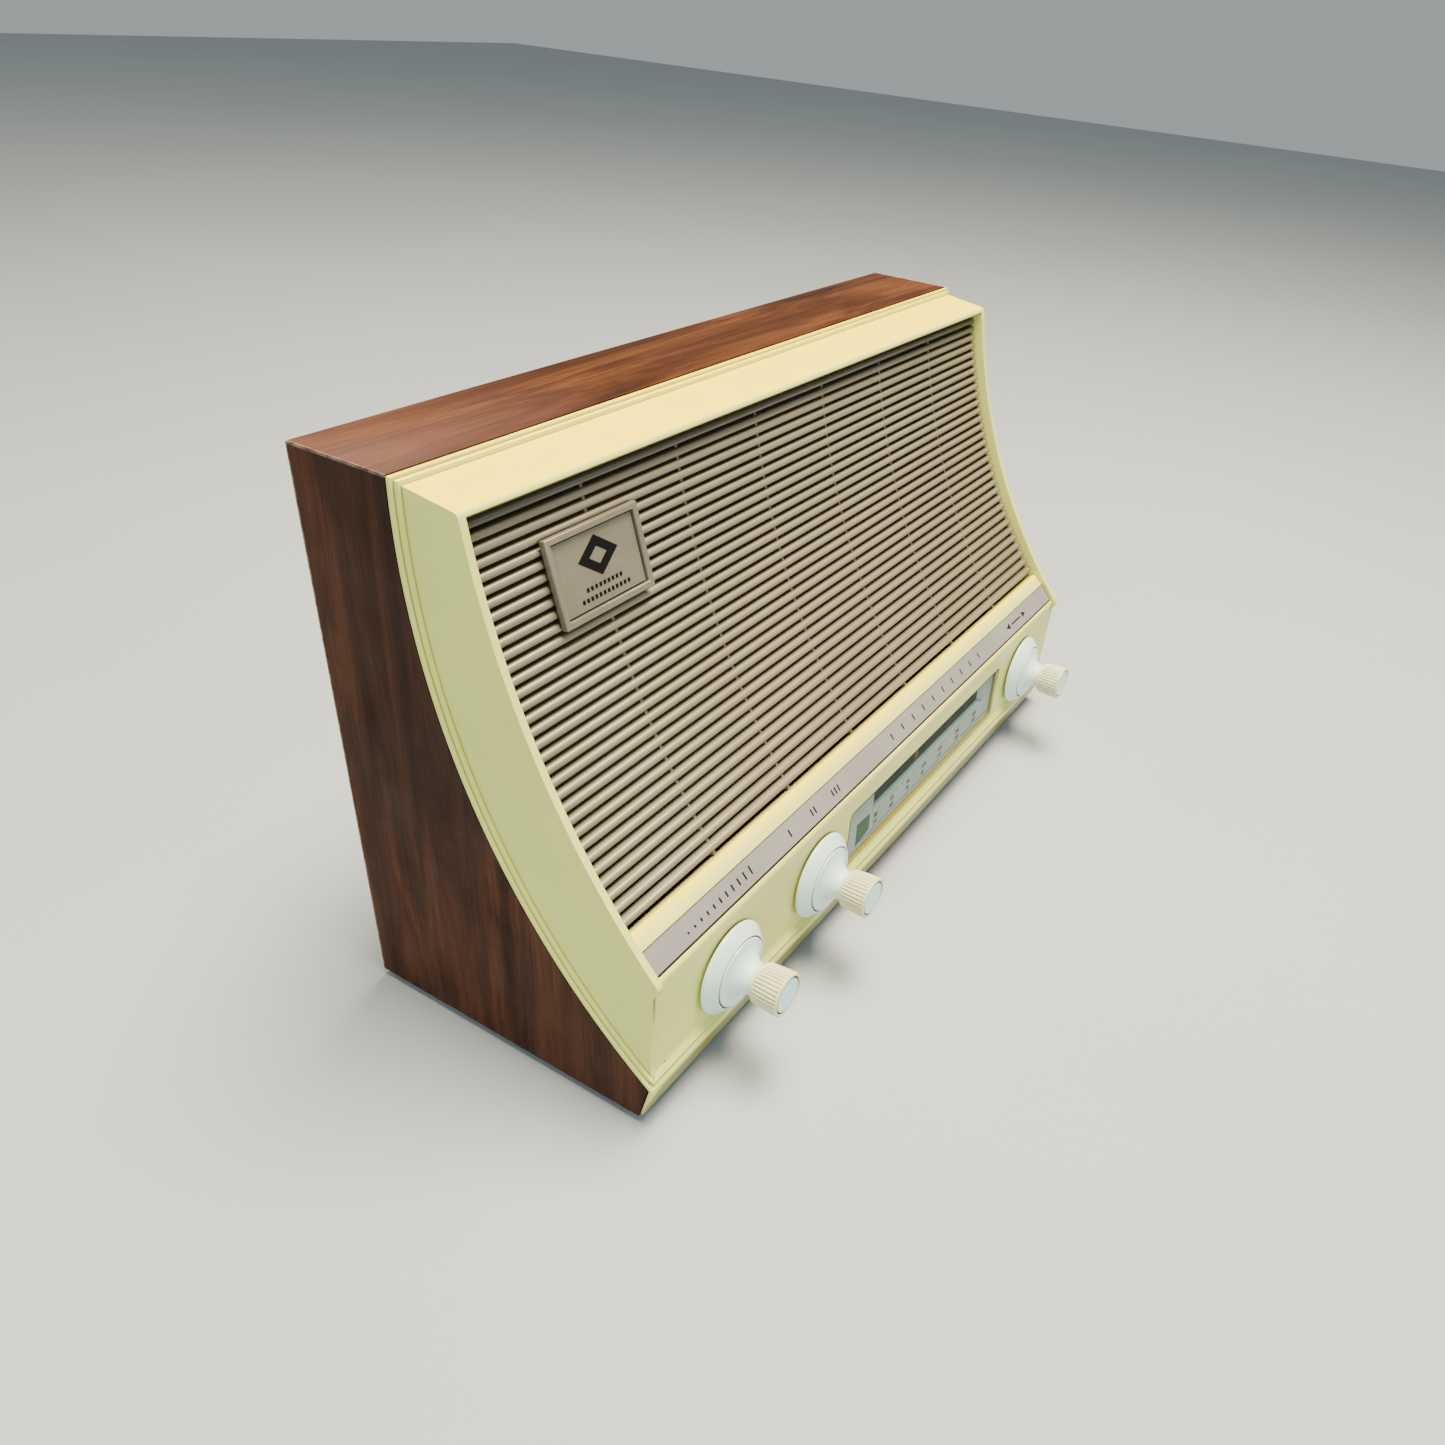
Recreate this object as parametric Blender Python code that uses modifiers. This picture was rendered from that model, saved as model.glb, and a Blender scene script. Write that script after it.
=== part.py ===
"""AM/FM table radio: a walnut cabinet with a moulded cream front, as separate named sub-parts.

Run it with: blender --background --python part.py

Every length below is in millimetres and becomes metres inside the helpers.
X runs along the width (+X is the right-hand side seen from the front), the front faces -Y and
+Z is up. A place is written (x, d, z), where d is the distance forward of the cabinet's back edge
and z is the height above the surface that the radio stands on.
"""
import math

import bmesh
import bpy
from mathutils import Matrix, Vector

MM = 0.001
GAP = 0.3                       # clearance between neighbouring sub-parts
ARC_STEPS = 18                  # straight pieces in each long arc
SMOOTH_ANGLE = 35.0             # degrees; edges sharper than this stay hard

# Cabinet
WIDTH = 340.0
TOP_Z = 205.0
FOOT_H = 3.0
BOARD = 9.0                     # thickness of the wooden boards
WOOD_ARC = (261.5, 193.0, 223.0)    # centre d, centre z and radius of the side boards' front edge
TIP_Z = 18.0                    # where the side board's curve ends above its blunt tip
TIP_FOOT_D = 119.4              # front of the boards at their underside

# Moulded front
RIM_ARC = (322.1, 238.8, 263.0)     # centre d, centre z and radius of the rim in front of the grille
FLANGE = 1.5                    # thickness of the flange that lies against the wood
STEP = 1.6                      # depth of the step in front of the flange
STEP_INSET = 1.2
BAND_INSET = 2.4                # the side bands stand in from the cabinet's sides by this much
WALL = 2.6
HOOD_TOP = TOP_Z - BAND_INSET
HOOD_LINE = ((39.6, HOOD_TOP), (60.8, 199.9), (61.8, 199.3), (62.1, 198.4))
NOSE_LINE = ((125.5, 64.0), (126.1, 62.6), (125.9, 61.2), (125.0, 59.8), (124.2, 58.2))
PANEL_FOOT = (122.9, 24.0)      # d and z where the control panel turns into the cove
COVE_LINE = (PANEL_FOOT, (123.3, 22.6), (124.0, 20.4), (124.7, 18.9))
LIP = (125.3, 17.8)             # d and z of the cove's front edge
LIP_FOOT = (121.3, 4.6)
PANEL_BACK_D = 120.3

# Back cover
COVER_T = 3.0
COVER_D = 5.5                   # middle of the cover's thickness
COVER_GAP = 0.6                 # between the cover and the boards round it
TERMINALS = (-60.0, -20.0, 64.0, 76.0)  # left, right, bottom and top of the aerial terminals
SCREW_INSET = 8.0
VENT_ROWS, VENT_COLUMNS = 5, 6
VENT_PITCH = (50.0, 11.0)
VENT_HALF = 15.0

# Grille
GRILLE_RECESS = 3.6             # the slats' front lies this far behind the rim
SLATS = 32
SLAT_PITCH = 3.756
SLAT_H = 2.75
SLAT_NOSE = 1.6
SLAT_DEPTH = 3.6
GRILLE_TOP_Z = 195.5            # the middle of the gap over the first slat
GRILLE_HALF = WIDTH / 2 - BAND_INSET - WALL - GAP
INNER_RIBS = 6

# Controls
KNOB_Z = 39.2
KNOB_D = 124.8                  # back of the knobs' skirts
VOLUME_X, BAND_X, TUNING_X = -126.6, -67.6, 128.9
KNOB_LENGTH = 23.7
SKIRT_R, GRIP_R = 17.2, 8.1
SHAFT_R = 3.0
WINDOW = (-43.5, 101.0, 25.2, 52.0)     # left, right, bottom and top of the dial opening
SLOT = (-20.0, 89.5, 38.0, 49.5)        # the clear strip that the pointer shows through
CHASSIS_D = 110.0

# Tuning drive
DRUM = (62.0, 62.0, 106.0)      # x, d and z of the drum's centre
CORD_R = 0.35
CORD_D = 113.6
CORD_REACH = 33.3               # radius at which the cord lies on the drum
GROOVE = 1.15                   # depth of the drum's groove under the middle of the cord
SHAFT_REACH = SHAFT_R + GAP + CORD_R
SHAFT_CORD_D = 118.0            # where the cord goes round the tuning shaft
PULLEY_R = 4.1
PULLEY_Z = 60.5
PULLEY_X = {"left": -55.5, "right": 113.0}
POINTER_X = 27.0                # the pointer's place in the rest pose
ROTOR_REST = 76.0               # degrees that the rotor has turned from open in the rest pose
ROTOR_R = 13.0

# Speaker and aerial
SPEAKER = (-62.0, 50.0, 138.0)  # centre of the basket's front rim
ROD = (75.0, 22.0, 182.0)       # middle of the ferrite rod

TOTAL_DEPTH = KNOB_D + KNOB_LENGTH
BACK_Y = TOTAL_DEPTH / 2        # the back edge's Y, so that the origin is under the box's centre

COLOURS = {                     # linear RGB, roughness, metallic
    "walnut": ((0.105, 0.045, 0.028), 0.45, 0.0),
    "cream_plastic": ((0.68, 0.64, 0.40), 0.38, 0.0),
    "grille_plastic": ((0.40, 0.35, 0.26), 0.5, 0.0),
    "knob_plastic": ((0.76, 0.80, 0.74), 0.35, 0.0),
    "knob_cap": ((0.62, 0.72, 0.74), 0.3, 0.0),
    "silver_foil": ((0.52, 0.50, 0.49), 0.35, 0.8),
    "badge_metal": ((0.36, 0.33, 0.26), 0.4, 0.7),
    "clear_plastic": ((0.75, 0.82, 0.78), 0.1, 0.0),
    "dial_paint": ((0.42, 0.50, 0.46), 0.5, 0.0),
    "pointer_red": ((0.50, 0.06, 0.04), 0.4, 0.0),
    "hardboard": ((0.16, 0.09, 0.05), 0.8, 0.0),
    "rubber": ((0.02, 0.02, 0.02), 0.85, 0.0),
    "steel": ((0.42, 0.42, 0.40), 0.4, 0.9),
    "aluminium": ((0.60, 0.60, 0.60), 0.35, 0.9),
    "brass": ((0.55, 0.40, 0.16), 0.35, 0.9),
    "phenolic": ((0.20, 0.10, 0.04), 0.6, 0.0),
    "magnet_black": ((0.04, 0.04, 0.04), 0.5, 0.3),
    "paper_cone": ((0.03, 0.03, 0.03), 0.9, 0.0),
    "copper_wire": ((0.45, 0.16, 0.06), 0.4, 0.7),
    "ferrite": ((0.05, 0.05, 0.05), 0.6, 0.1),
    "cord_thread": ((0.55, 0.50, 0.38), 0.8, 0.0),
}

# Columns of a rotation for an outline drawn in a plane: local x, local y, and the thickness.
PLANES = {
    "side": Matrix(((0, 0, -1), (-1, 0, 0), (0, 1, 0))),    # outline (d, z), thickness along X
    "front": Matrix(((1, 0, 0), (0, 0, -1), (0, 1, 0))),    # outline (x, z), thickness along Y
    "top": Matrix(((1, 0, 0), (0, -1, 0), (0, 0, -1))),     # outline (x, d), thickness along Z
}
AXES = {"x": "side", "y": "front", "z": "top"}


# ---------------------------------------------------------------- helpers

def start_scene():
    for obj in list(bpy.data.objects):
        bpy.data.objects.remove(obj, do_unlink=True)
    parts = bpy.data.collections.new("table_radio")
    cutters = bpy.data.collections.new("cutters")
    bpy.context.scene.collection.children.link(parts)
    bpy.context.scene.collection.children.link(cutters)
    return parts, cutters


PARTS, CUTTERS = start_scene()


def place(x, d, z):
    """The world position in metres of a point written (x, d, z)."""
    return Vector((x, BACK_Y - d, z)) * MM


def material(kind, name):
    colour, roughness, metallic = COLOURS[kind]
    mat = bpy.data.materials.new(name)
    mat.use_nodes = True
    shader = mat.node_tree.nodes["Principled BSDF"]
    shader.inputs["Base Color"].default_value = (*colour, 1.0)
    shader.inputs["Roughness"].default_value = roughness
    shader.inputs["Metallic"].default_value = metallic
    mat.diffuse_color = (*colour, 1.0)
    return mat


def finish(name, mesh, kind, matrix):
    """Link a mesh as a sub-part, or as a hidden cutter when it has no material."""
    mesh.name = name
    mesh.shade_smooth()
    mesh.set_sharp_from_angle(angle=math.radians(SMOOTH_ANGLE))
    obj = bpy.data.objects.new(name, mesh)
    obj.matrix_world = matrix
    if kind is None:
        CUTTERS.objects.link(obj)
        obj.hide_render = True
        obj.display_type = "WIRE"
    else:
        PARTS.objects.link(obj)
        mesh.materials.clear()
        mesh.materials.append(material(kind, name))
    return obj


def clean(mesh, merge=1e-6):
    bm = bmesh.new()
    bm.from_mesh(mesh)
    bmesh.ops.remove_doubles(bm, verts=bm.verts, dist=merge)
    bmesh.ops.recalc_face_normals(bm, faces=bm.faces)
    bm.to_mesh(mesh)
    bm.free()


def curve_mesh(curve):
    """Turn a curve into a closed mesh and drop the curve."""
    holder = bpy.data.objects.new("holder", curve)
    mesh = bpy.data.meshes.new_from_object(holder)
    bpy.data.objects.remove(holder, do_unlink=True)
    bpy.data.curves.remove(curve)
    clean(mesh)
    return mesh


def plate(name, loops, thickness, plane, level, kind):
    """A flat sheet from an outline and its holes; level is the middle of its thickness."""
    curve = bpy.data.curves.new(name, "CURVE")
    curve.dimensions = "2D"
    curve.fill_mode = "BOTH"
    curve.extrude = thickness / 2 * MM
    for loop in loops:
        spline = curve.splines.new("POLY")
        spline.points.add(len(loop) - 1)
        spline.use_cyclic_u = True
        for point, (a, b) in zip(spline.points, loop):
            point.co = (a * MM, b * MM, 0.0, 1.0)
    offset = {"side": place(level, 0, 0), "front": place(0, level, 0), "top": place(0, 0, level)}
    matrix = Matrix.Translation(offset[plane]) @ PLANES[plane].to_4x4()
    return finish(name, curve_mesh(curve), kind, matrix)


def box(name, low, high, kind, turn=0.0):
    """A box between two corners (x, d, z), turned about its own centre's X axis."""
    bm = bmesh.new()
    bmesh.ops.create_cube(bm, size=1.0)
    size = [abs(b - a) * MM for a, b in zip(low, high)]
    bmesh.ops.scale(bm, vec=size, verts=bm.verts)
    mesh = bpy.data.meshes.new(name)
    bm.to_mesh(mesh)
    bm.free()
    centre = place(*[(a + b) / 2 for a, b in zip(low, high)])
    return finish(name, mesh, kind, Matrix.Translation(centre) @ Matrix.Rotation(turn, 4, "X"))


def cylinder(name, centre, radius, length, axis, kind, sides=24):
    """A round bar about one of the world's axes, centred on a place."""
    bm = bmesh.new()
    bmesh.ops.create_cone(bm, cap_ends=True, segments=sides, radius1=radius * MM,
                          radius2=radius * MM, depth=length * MM)
    mesh = bpy.data.meshes.new(name)
    bm.to_mesh(mesh)
    bm.free()
    return finish(name, mesh, kind, Matrix.Translation(place(*centre)) @ PLANES[AXES[axis]].to_4x4())


def turned(name, profile, centre, axis, kind, steps=24):
    """A turned solid: an outline of (radius, distance along the axis), swept by a Screw.

    Along y, distances run forward; along z they run down; along x they run to -X.
    """
    following = profile[1:] + profile[:1]
    area = sum(a[0] * b[1] - b[0] * a[1] for a, b in zip(profile, following))
    if area > 0:                # the Screw wants its outline clockwise
        profile = profile[::-1]
    mesh = bpy.data.meshes.new(name)
    points = [(r * MM, 0.0, along * MM) for r, along in profile]
    edges = [(i, i + 1) for i in range(len(points) - 1)]
    closed = profile[0][0] > 0 and profile[-1][0] > 0
    if closed:
        edges.append((len(points) - 1, 0))
    mesh.from_pydata(points, edges, [])
    obj = finish(name, mesh, kind, Matrix.Translation(place(*centre)) @ PLANES[AXES[axis]].to_4x4())
    screw = obj.modifiers.new("turn", "SCREW")
    screw.axis = "Z"
    screw.steps = steps
    screw.render_steps = steps
    screw.use_merge_vertices = True
    screw.merge_threshold = 0.00001
    return obj


def wire(name, points, radius, kind, closed=False, rings=2):
    """A round wire or rod along a list of places."""
    curve = bpy.data.curves.new(name, "CURVE")
    curve.dimensions = "3D"
    curve.bevel_depth = radius * MM
    curve.bevel_resolution = rings
    curve.use_fill_caps = not closed
    spline = curve.splines.new("POLY")
    spline.points.add(len(points) - 1)
    spline.use_cyclic_u = closed
    for point, where in zip(spline.points, points):
        point.co = (*place(*where), 1.0)
    return finish(name, curve_mesh(curve), kind, Matrix.Identity(4))


def combine(target, others, operation, solver="EXACT"):
    """Cut the others out of the target, or add them to it; they become hidden helpers."""
    for other in others:
        modifier = target.modifiers.new(other.name, "BOOLEAN")
        modifier.operation = operation
        modifier.solver = solver
        modifier.object = other
    return target


def soften(obj, width, segments=2, angle=60.0):
    bevel = obj.modifiers.new("soften", "BEVEL")
    bevel.width = width * MM
    bevel.segments = segments
    bevel.limit_method = "ANGLE"
    bevel.angle_limit = math.radians(angle)
    return obj


def arc_d(arc, z, offset=0.0):
    """How far forward an arc's line is at a height; a positive offset moves it backward."""
    centre_d, centre_z, radius = arc
    return centre_d - math.sqrt((radius + offset) ** 2 - (z - centre_z) ** 2)


def arc_points(arc, z_from, z_to, count, offset=0.0):
    """Points (d, z) down an arc, evenly spaced by angle."""
    centre_d, centre_z, radius = arc
    radius += offset
    angles = [math.asin((z - centre_z) / radius) for z in (z_from, z_to)]
    points = []
    for i in range(count + 1):
        angle = angles[0] + (angles[1] - angles[0]) * i / count
        points.append((centre_d - radius * math.cos(angle), centre_z + radius * math.sin(angle)))
    return points


def rectangle(left, right, bottom, top):
    return [(left, bottom), (right, bottom), (right, top), (left, top)]


def rounded(left, right, bottom, top, radius, steps=4):
    """A rectangle with round corners."""
    corners = ((right - radius, bottom + radius, -90), (right - radius, top - radius, 0),
               (left + radius, top - radius, 90), (left + radius, bottom + radius, 180))
    points = []
    for cx, cy, start in corners:
        for i in range(steps + 1):
            angle = math.radians(start + 90 * i / steps)
            points.append((cx + radius * math.cos(angle), cy + radius * math.sin(angle)))
    return points


def circle(cx, cy, radius, sides=24):
    turns = [2 * math.pi * i / sides for i in range(sides)]
    return [(cx + radius * math.cos(t), cy + radius * math.sin(t)) for t in turns]


def turn_points(centre, reach, start, end, steps):
    """Places along an arc seen from the front, in degrees from +X towards +Z."""
    x, d, z = centre
    angles = [math.radians(start + (end - start) * i / steps) for i in range(steps + 1)]
    return [(x + reach * math.cos(a), d, z + reach * math.sin(a)) for a in angles]


# ---------------------------------------------------------------- cabinet

def side_board(name, sign):
    """One side: straight back, curved front edge, blunt tip, and mitred top and bottom ends."""
    outline = [(0.0, FOOT_H), (0.0, TOP_Z), (arc_d(WOOD_ARC, TOP_Z), TOP_Z)]
    outline += arc_points(WOOD_ARC, TOP_Z - 1.0, TIP_Z, ARC_STEPS)
    outline.append((TIP_FOOT_D, FOOT_H))
    middle = sign * (WIDTH - BOARD) / 2
    board = plate(name, [outline], BOARD, "side", middle, "walnut")
    for vertex in board.data.vertices:
        inside = vertex.co.z * sign > 0       # local z runs to -X
        if inside and vertex.co.y > (TOP_Z - 0.5) * MM:
            vertex.co.y = (TOP_Z - BOARD) * MM
        elif inside and vertex.co.y < (FOOT_H + 0.5) * MM:
            vertex.co.y = (FOOT_H + BOARD) * MM
    return board


def flat_board(name, outer_z, inner_z, depth_outer, depth_inner):
    """The top or the bottom, mitred at its ends, with its own depth on each face."""
    outer = WIDTH / 2 - GAP
    inner = outer - BOARD
    outline = [(-outer, outer_z), (-inner, inner_z), (inner, inner_z), (outer, outer_z)]
    board = plate(name, [outline], depth_outer, "front", depth_outer / 2, "walnut")
    for vertex in board.data.vertices:
        front = vertex.co.z > 0
        if front and abs(vertex.co.y - inner_z * MM) < 0.5 * MM:
            vertex.co.z += (depth_inner - depth_outer) * MM
    return board


def cabinet():
    side_board("cabinet_side_left", -1)
    side_board("cabinet_side_right", 1)
    top_depth = arc_d(WOOD_ARC, TOP_Z - BOARD)
    flat_board("cabinet_top", TOP_Z, TOP_Z - BOARD, top_depth, top_depth)
    flat_board("cabinet_bottom", FOOT_H, FOOT_H + BOARD, TIP_FOOT_D, TIP_FOOT_D + 2.4)
    inner = WIDTH / 2 - BOARD - GAP
    size = 16.0
    for sign, side in ((-1, "left"), (1, "right")):
        near, far = sorted((sign * inner, sign * (inner - size)))
        high_z = TOP_Z - BOARD - GAP
        box(f"corner_block_top_{side}", (near, 7.5, high_z - size), (far, 28.0, high_z), "hardboard")


def back_cover():
    half = WIDTH / 2 - BOARD - COVER_GAP
    low, high = FOOT_H + BOARD + COVER_GAP, TOP_Z - BOARD - COVER_GAP
    loops = [rounded(-half, half, low, high, 3.0)]
    for column in range(VENT_COLUMNS):
        x = (column - (VENT_COLUMNS - 1) / 2) * VENT_PITCH[0]
        for row in range(VENT_ROWS):
            z = 122.0 + row * VENT_PITCH[1]
            loops.append(rectangle(x - VENT_HALF, x + VENT_HALF, z - 2.0, z + 2.0))
        loops.append(rectangle(x - VENT_HALF, x + VENT_HALF, 30.0, 34.0))
    left, right, bottom, top = TERMINALS
    loops.append(rounded(left - 2.0, right + 2.0, bottom - 2.0, top + 2.0, 3.0))
    screws = [(x, z) for z in (low + SCREW_INSET, high - SCREW_INSET)
              for x in (-half + SCREW_INSET, half - SCREW_INSET)]
    loops += [circle(x, z, 1.9, 12) for x, z in screws]
    plate("back_cover", loops, COVER_T, "front", COVER_D, "hardboard")
    for number, (x, z) in enumerate(screws, start=1):
        head = [(0.0, -2.2), (2.2, -2.0), (3.6, -0.6), (3.6, 0.0), (1.5, 0.0), (1.5, 3.2), (0.0, 3.2)]
        screw = turned(f"back_screw_{number}", head, (x, 3.7, z), "y", "steel", 12)
        slot = box(f"screw_slot_{number}", (x - 4.0, 1.2, z - 0.4), (x + 4.0, 2.3, z + 0.4), None)
        combine(screw, [slot], "DIFFERENCE")


def feet():
    spots = {"front_left": (-140.0, 98.0), "front_right": (140.0, 98.0),
             "rear_left": (-140.0, 16.0), "rear_right": (140.0, 16.0)}
    for side, (x, d) in spots.items():
        profile = [(0.0, -FOOT_H / 2 + GAP), (8.0, -FOOT_H / 2 + GAP), (7.2, FOOT_H / 2 - 0.4),
                   (6.8, FOOT_H / 2), (0.0, FOOT_H / 2)]
        turned(f"foot_{side}", profile, (x, d, FOOT_H / 2), "z", "rubber", 20)


# ---------------------------------------------------------------- moulded front

def strip_outline(front_offset, back_offset, top, foot_front, foot_back):
    """A thin layer that follows the cabinet's front edge, then turns down over its tip."""
    front = arc_points(WOOD_ARC, top, LIP[1] + 1.2, ARC_STEPS, front_offset)
    back = arc_points(WOOD_ARC, top, TIP_Z, ARC_STEPS, back_offset)
    return front + [LIP, foot_front, foot_back] + back[::-1]


def lower_bar_outline():
    """Ledge, label seat, nose and control panel in section."""
    ledge = [(111.7, 75.0), (116.9, 71.0), (116.4, 70.5), (122.7, 63.0), (123.3, 63.6)]
    edge = [(123.9, 63.1), (124.3, 62.4), (124.4, 61.4)]
    inside = [(PANEL_BACK_D, 23.0), (PANEL_BACK_D, 57.4), (120.4, 61.0), (113.2, 69.1), (108.6, 72.9)]
    return ledge + edge + [NOSE_LINE[-1], PANEL_FOOT, (122.9, 23.0)] + inside


def cove_outline():
    """The cove and the thick root of the lip, between the side boards."""
    return list(COVE_LINE) + [LIP, (LIP[0] - 0.6, 15.6), (PANEL_BACK_D + 0.4, 15.6),
                              (PANEL_BACK_D + 0.4, PANEL_FOOT[1])]


def hood_outline():
    front_d, front_z = HOOD_LINE[-1]
    under = [(front_d - 0.6, front_z - 1.0), (front_d - 1.8, front_z - 1.3), (39.6, HOOD_TOP - WALL)]
    return list(HOOD_LINE) + under


def band_outline():
    """The smooth side band from the flange to the rim, down to the nose and the panel."""
    rim = arc_points(RIM_ARC, HOOD_LINE[-1][1] - 0.8, NOSE_LINE[0][1] + 1.2, ARC_STEPS)
    back = arc_points(WOOD_ARC, HOOD_TOP, 19.5, ARC_STEPS, -FLANGE / 2 - GAP)
    return list(HOOD_LINE) + rim + list(NOSE_LINE) + list(COVE_LINE) + back[::-1]


def front_bezel():
    """One moulding: flange, step, side bands, hood, ledge, nose, control panel and lip."""
    flange = strip_outline(-FLANGE - GAP, -GAP, TOP_Z - 0.1, LIP_FOOT, (120.2, 4.9))
    bezel = plate("front_bezel", [flange], WIDTH, "side", 0.0, "cream_plastic")
    step_front = arc_points(WOOD_ARC, TOP_Z - STEP_INSET, 21.0, ARC_STEPS, -FLANGE - GAP - STEP)
    step_back = arc_points(WOOD_ARC, TOP_Z - STEP_INSET, 21.0, ARC_STEPS, -FLANGE / 2 - GAP)
    step = plate("bezel_step", [step_front + step_back[::-1]], WIDTH - 2 * STEP_INSET, "side", 0.0,
                 None)
    hollow_half = WIDTH / 2 - BAND_INSET - WALL - 4.0
    hollow = box("bezel_hollow", (-hollow_half, 0.0, 23.0), (hollow_half, 140.0, 195.5), None)
    half = WIDTH / 2 - BAND_INSET
    bands = []
    for sign, side in ((-1, "left"), (1, "right")):
        band = plate(f"bezel_band_{side}", [band_outline()], WALL, "side", sign * (half - WALL / 2),
                     None)
        bands.append(soften(band, 0.8, 1, 70.0))
    across = 2 * (half - WALL / 2)
    hood = plate("bezel_hood", [hood_outline()], across, "side", 0.0, None)
    lower = plate("bezel_lower", [lower_bar_outline()], across, "side", 0.0, None)
    cove = plate("bezel_cove", [cove_outline()], 2 * (WIDTH / 2 - BOARD - 2 * GAP), "side", 0.0, None)
    left, right, bottom, top = WINDOW
    opening = plate("dial_opening", [rounded(left, right, bottom, top, 2.0)], 12.0, "front", 122.0,
                    None)
    holes = [cylinder(f"shaft_hole_{i}", (x, 122.0, KNOB_Z), 5.0, 12.0, "y", None)
             for i, x in enumerate((VOLUME_X, BAND_X, TUNING_X))]
    # The exact solver loses the flange where these long thin pieces share faces.
    combine(bezel, [step], "UNION", "MANIFOLD")
    combine(bezel, [hollow], "DIFFERENCE", "MANIFOLD")
    combine(bezel, bands + [hood, lower, cove], "UNION", "MANIFOLD")
    combine(bezel, [opening] + holes, "DIFFERENCE", "MANIFOLD")


def slat_outline(z):
    """A slat's section: level, with a round nose on the arc and its middle at z."""
    centre_d, centre_z, radius = RIM_ARC
    front = centre_d - math.sqrt((radius + GRILLE_RECESS) ** 2 - (centre_z - z) ** 2)
    half = SLAT_H / 2
    nose = []
    for i in range(5):
        angle = math.radians(90 - 45 * i)
        nose.append((front - SLAT_NOSE * (1 - math.cos(angle)), z + half * math.sin(angle)))
    return nose + [(front - SLAT_DEPTH, z - half), (front - SLAT_DEPTH, z + half)]


def grille():
    """Level slats, evenly spaced in height, in front of upright curved ribs, as one moulding."""
    centre_d, centre_z, radius = RIM_ARC
    front_r = radius + GRILLE_RECESS
    middles = [GRILLE_TOP_Z - SLAT_PITCH * (i + 0.5) for i in range(SLATS)]
    slats = plate("grille_panel", [slat_outline(z) for z in middles], 2 * GRILLE_HALF, "side", 0.0,
                  "grille_plastic")
    ends = (middles[0] + SLAT_H / 2, middles[-1] - SLAT_H / 2)
    first, last = [math.asin((centre_z - z) / front_r) for z in ends]
    rib = []
    for depth, angles in ((SLAT_DEPTH - 1.4, (first, last)), (SLAT_DEPTH + 1.4, (last, first))):
        for i in range(ARC_STEPS + 1):
            angle = angles[0] + (angles[1] - angles[0]) * i / ARC_STEPS
            reach = front_r + depth
            rib.append((centre_d - reach * math.cos(angle), centre_z - reach * math.sin(angle)))
    ribs = []
    for i in range(INNER_RIBS + 2):
        x = -GRILLE_HALF + 2.0 + i * (2 * GRILLE_HALF - 4.0) / (INNER_RIBS + 1)
        ribs.append(plate(f"grille_rib_{i}", [rib], 1.4, "side", x, None))
    combine(slats, ribs, "UNION")


def badge():
    """A bevelled frame with a plate in it, standing on the slats at the upper left."""
    centre_d, centre_z, radius = RIM_ARC
    angle = math.asin((centre_z - 169.7) / radius)
    reach = radius + GRILLE_RECESS - GAP - 1.3 - 0.4      # the slats' curve rises 0.4 at its edges
    spot = (-118.6, centre_d - reach * math.cos(angle), centre_z - reach * math.sin(angle))
    tilt = Matrix.Translation(place(*spot)) @ Matrix.Rotation(-angle, 4, "X") @ PLANES["front"].to_4x4()
    outer, inner = rounded(-20.7, 20.7, -14.0, 14.0, 0.8, 2), rectangle(-18.3, 18.3, -11.6, 11.6)
    frame = plate("badge_frame", [outer, inner], 2.6, "front", 0.0, "badge_metal")
    frame.matrix_world = tilt
    soften(frame, 0.5, 1, 70.0)
    face = plate("badge_plate", [rectangle(-18.0, 18.0, -11.3, 11.3)], 1.2, "front", 0.0, "silver_foil")
    face.matrix_world = tilt @ Matrix.Translation(Vector((0.0, 0.0, -0.5 * MM)))


def label_strip():
    """The foil strip in its seat between the ledge and the nose."""
    top, bottom = Vector((116.4, 70.5)), Vector((122.7, 63.0))
    along = bottom - top
    outward = Vector((-along.y, along.x)).normalized()
    middle = (top + bottom) / 2 + outward * (0.25 + GAP)
    length = along.length - 0.7
    half = GRILLE_HALF - 0.4
    box("label_strip", (-half, middle.x - length / 2, middle.y - 0.25),
        (half, middle.x + length / 2, middle.y + 0.25), "silver_foil", math.atan2(-along.y, along.x))


def dial():
    """Clear lens over a printed scale in the opening, with the pointer behind the clear strip."""
    left, right, bottom, top = WINDOW
    inset = rounded(left + GAP, right - GAP, bottom + GAP, top - GAP, 1.8)
    plate("dial_window", [inset], 0.8, "front", 122.3, "clear_plastic")
    slot = rectangle(*SLOT)
    scale = plate("dial_scale", [inset, slot], 2.7, "front", 120.25, "dial_paint")
    wide = rectangle(left - 3.0, right + 3.0, bottom - 1.2, top + 3.0)
    flange = plate("scale_flange", [wide, slot], 1.1, "front", 119.45, None)
    combine(scale, [flange], "UNION")
    x = POINTER_X
    needle = box("dial_pointer", (x - 0.6, 117.3, 31.0), (x + 0.6, 118.3, 57.0), "pointer_red")
    hook = box("pointer_hook", (x - 5.0, 112.9, 55.4), (x + 5.0, 117.8, 56.8), None)
    clip_z = PULLEY_Z + PULLEY_R - CORD_R - GAP
    tail = box("pointer_tail", (x - 5.0, 112.9, 55.8), (x + 5.0, 114.3, clip_z), None)
    combine(needle, [hook, tail], "UNION")


# ---------------------------------------------------------------- controls

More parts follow.
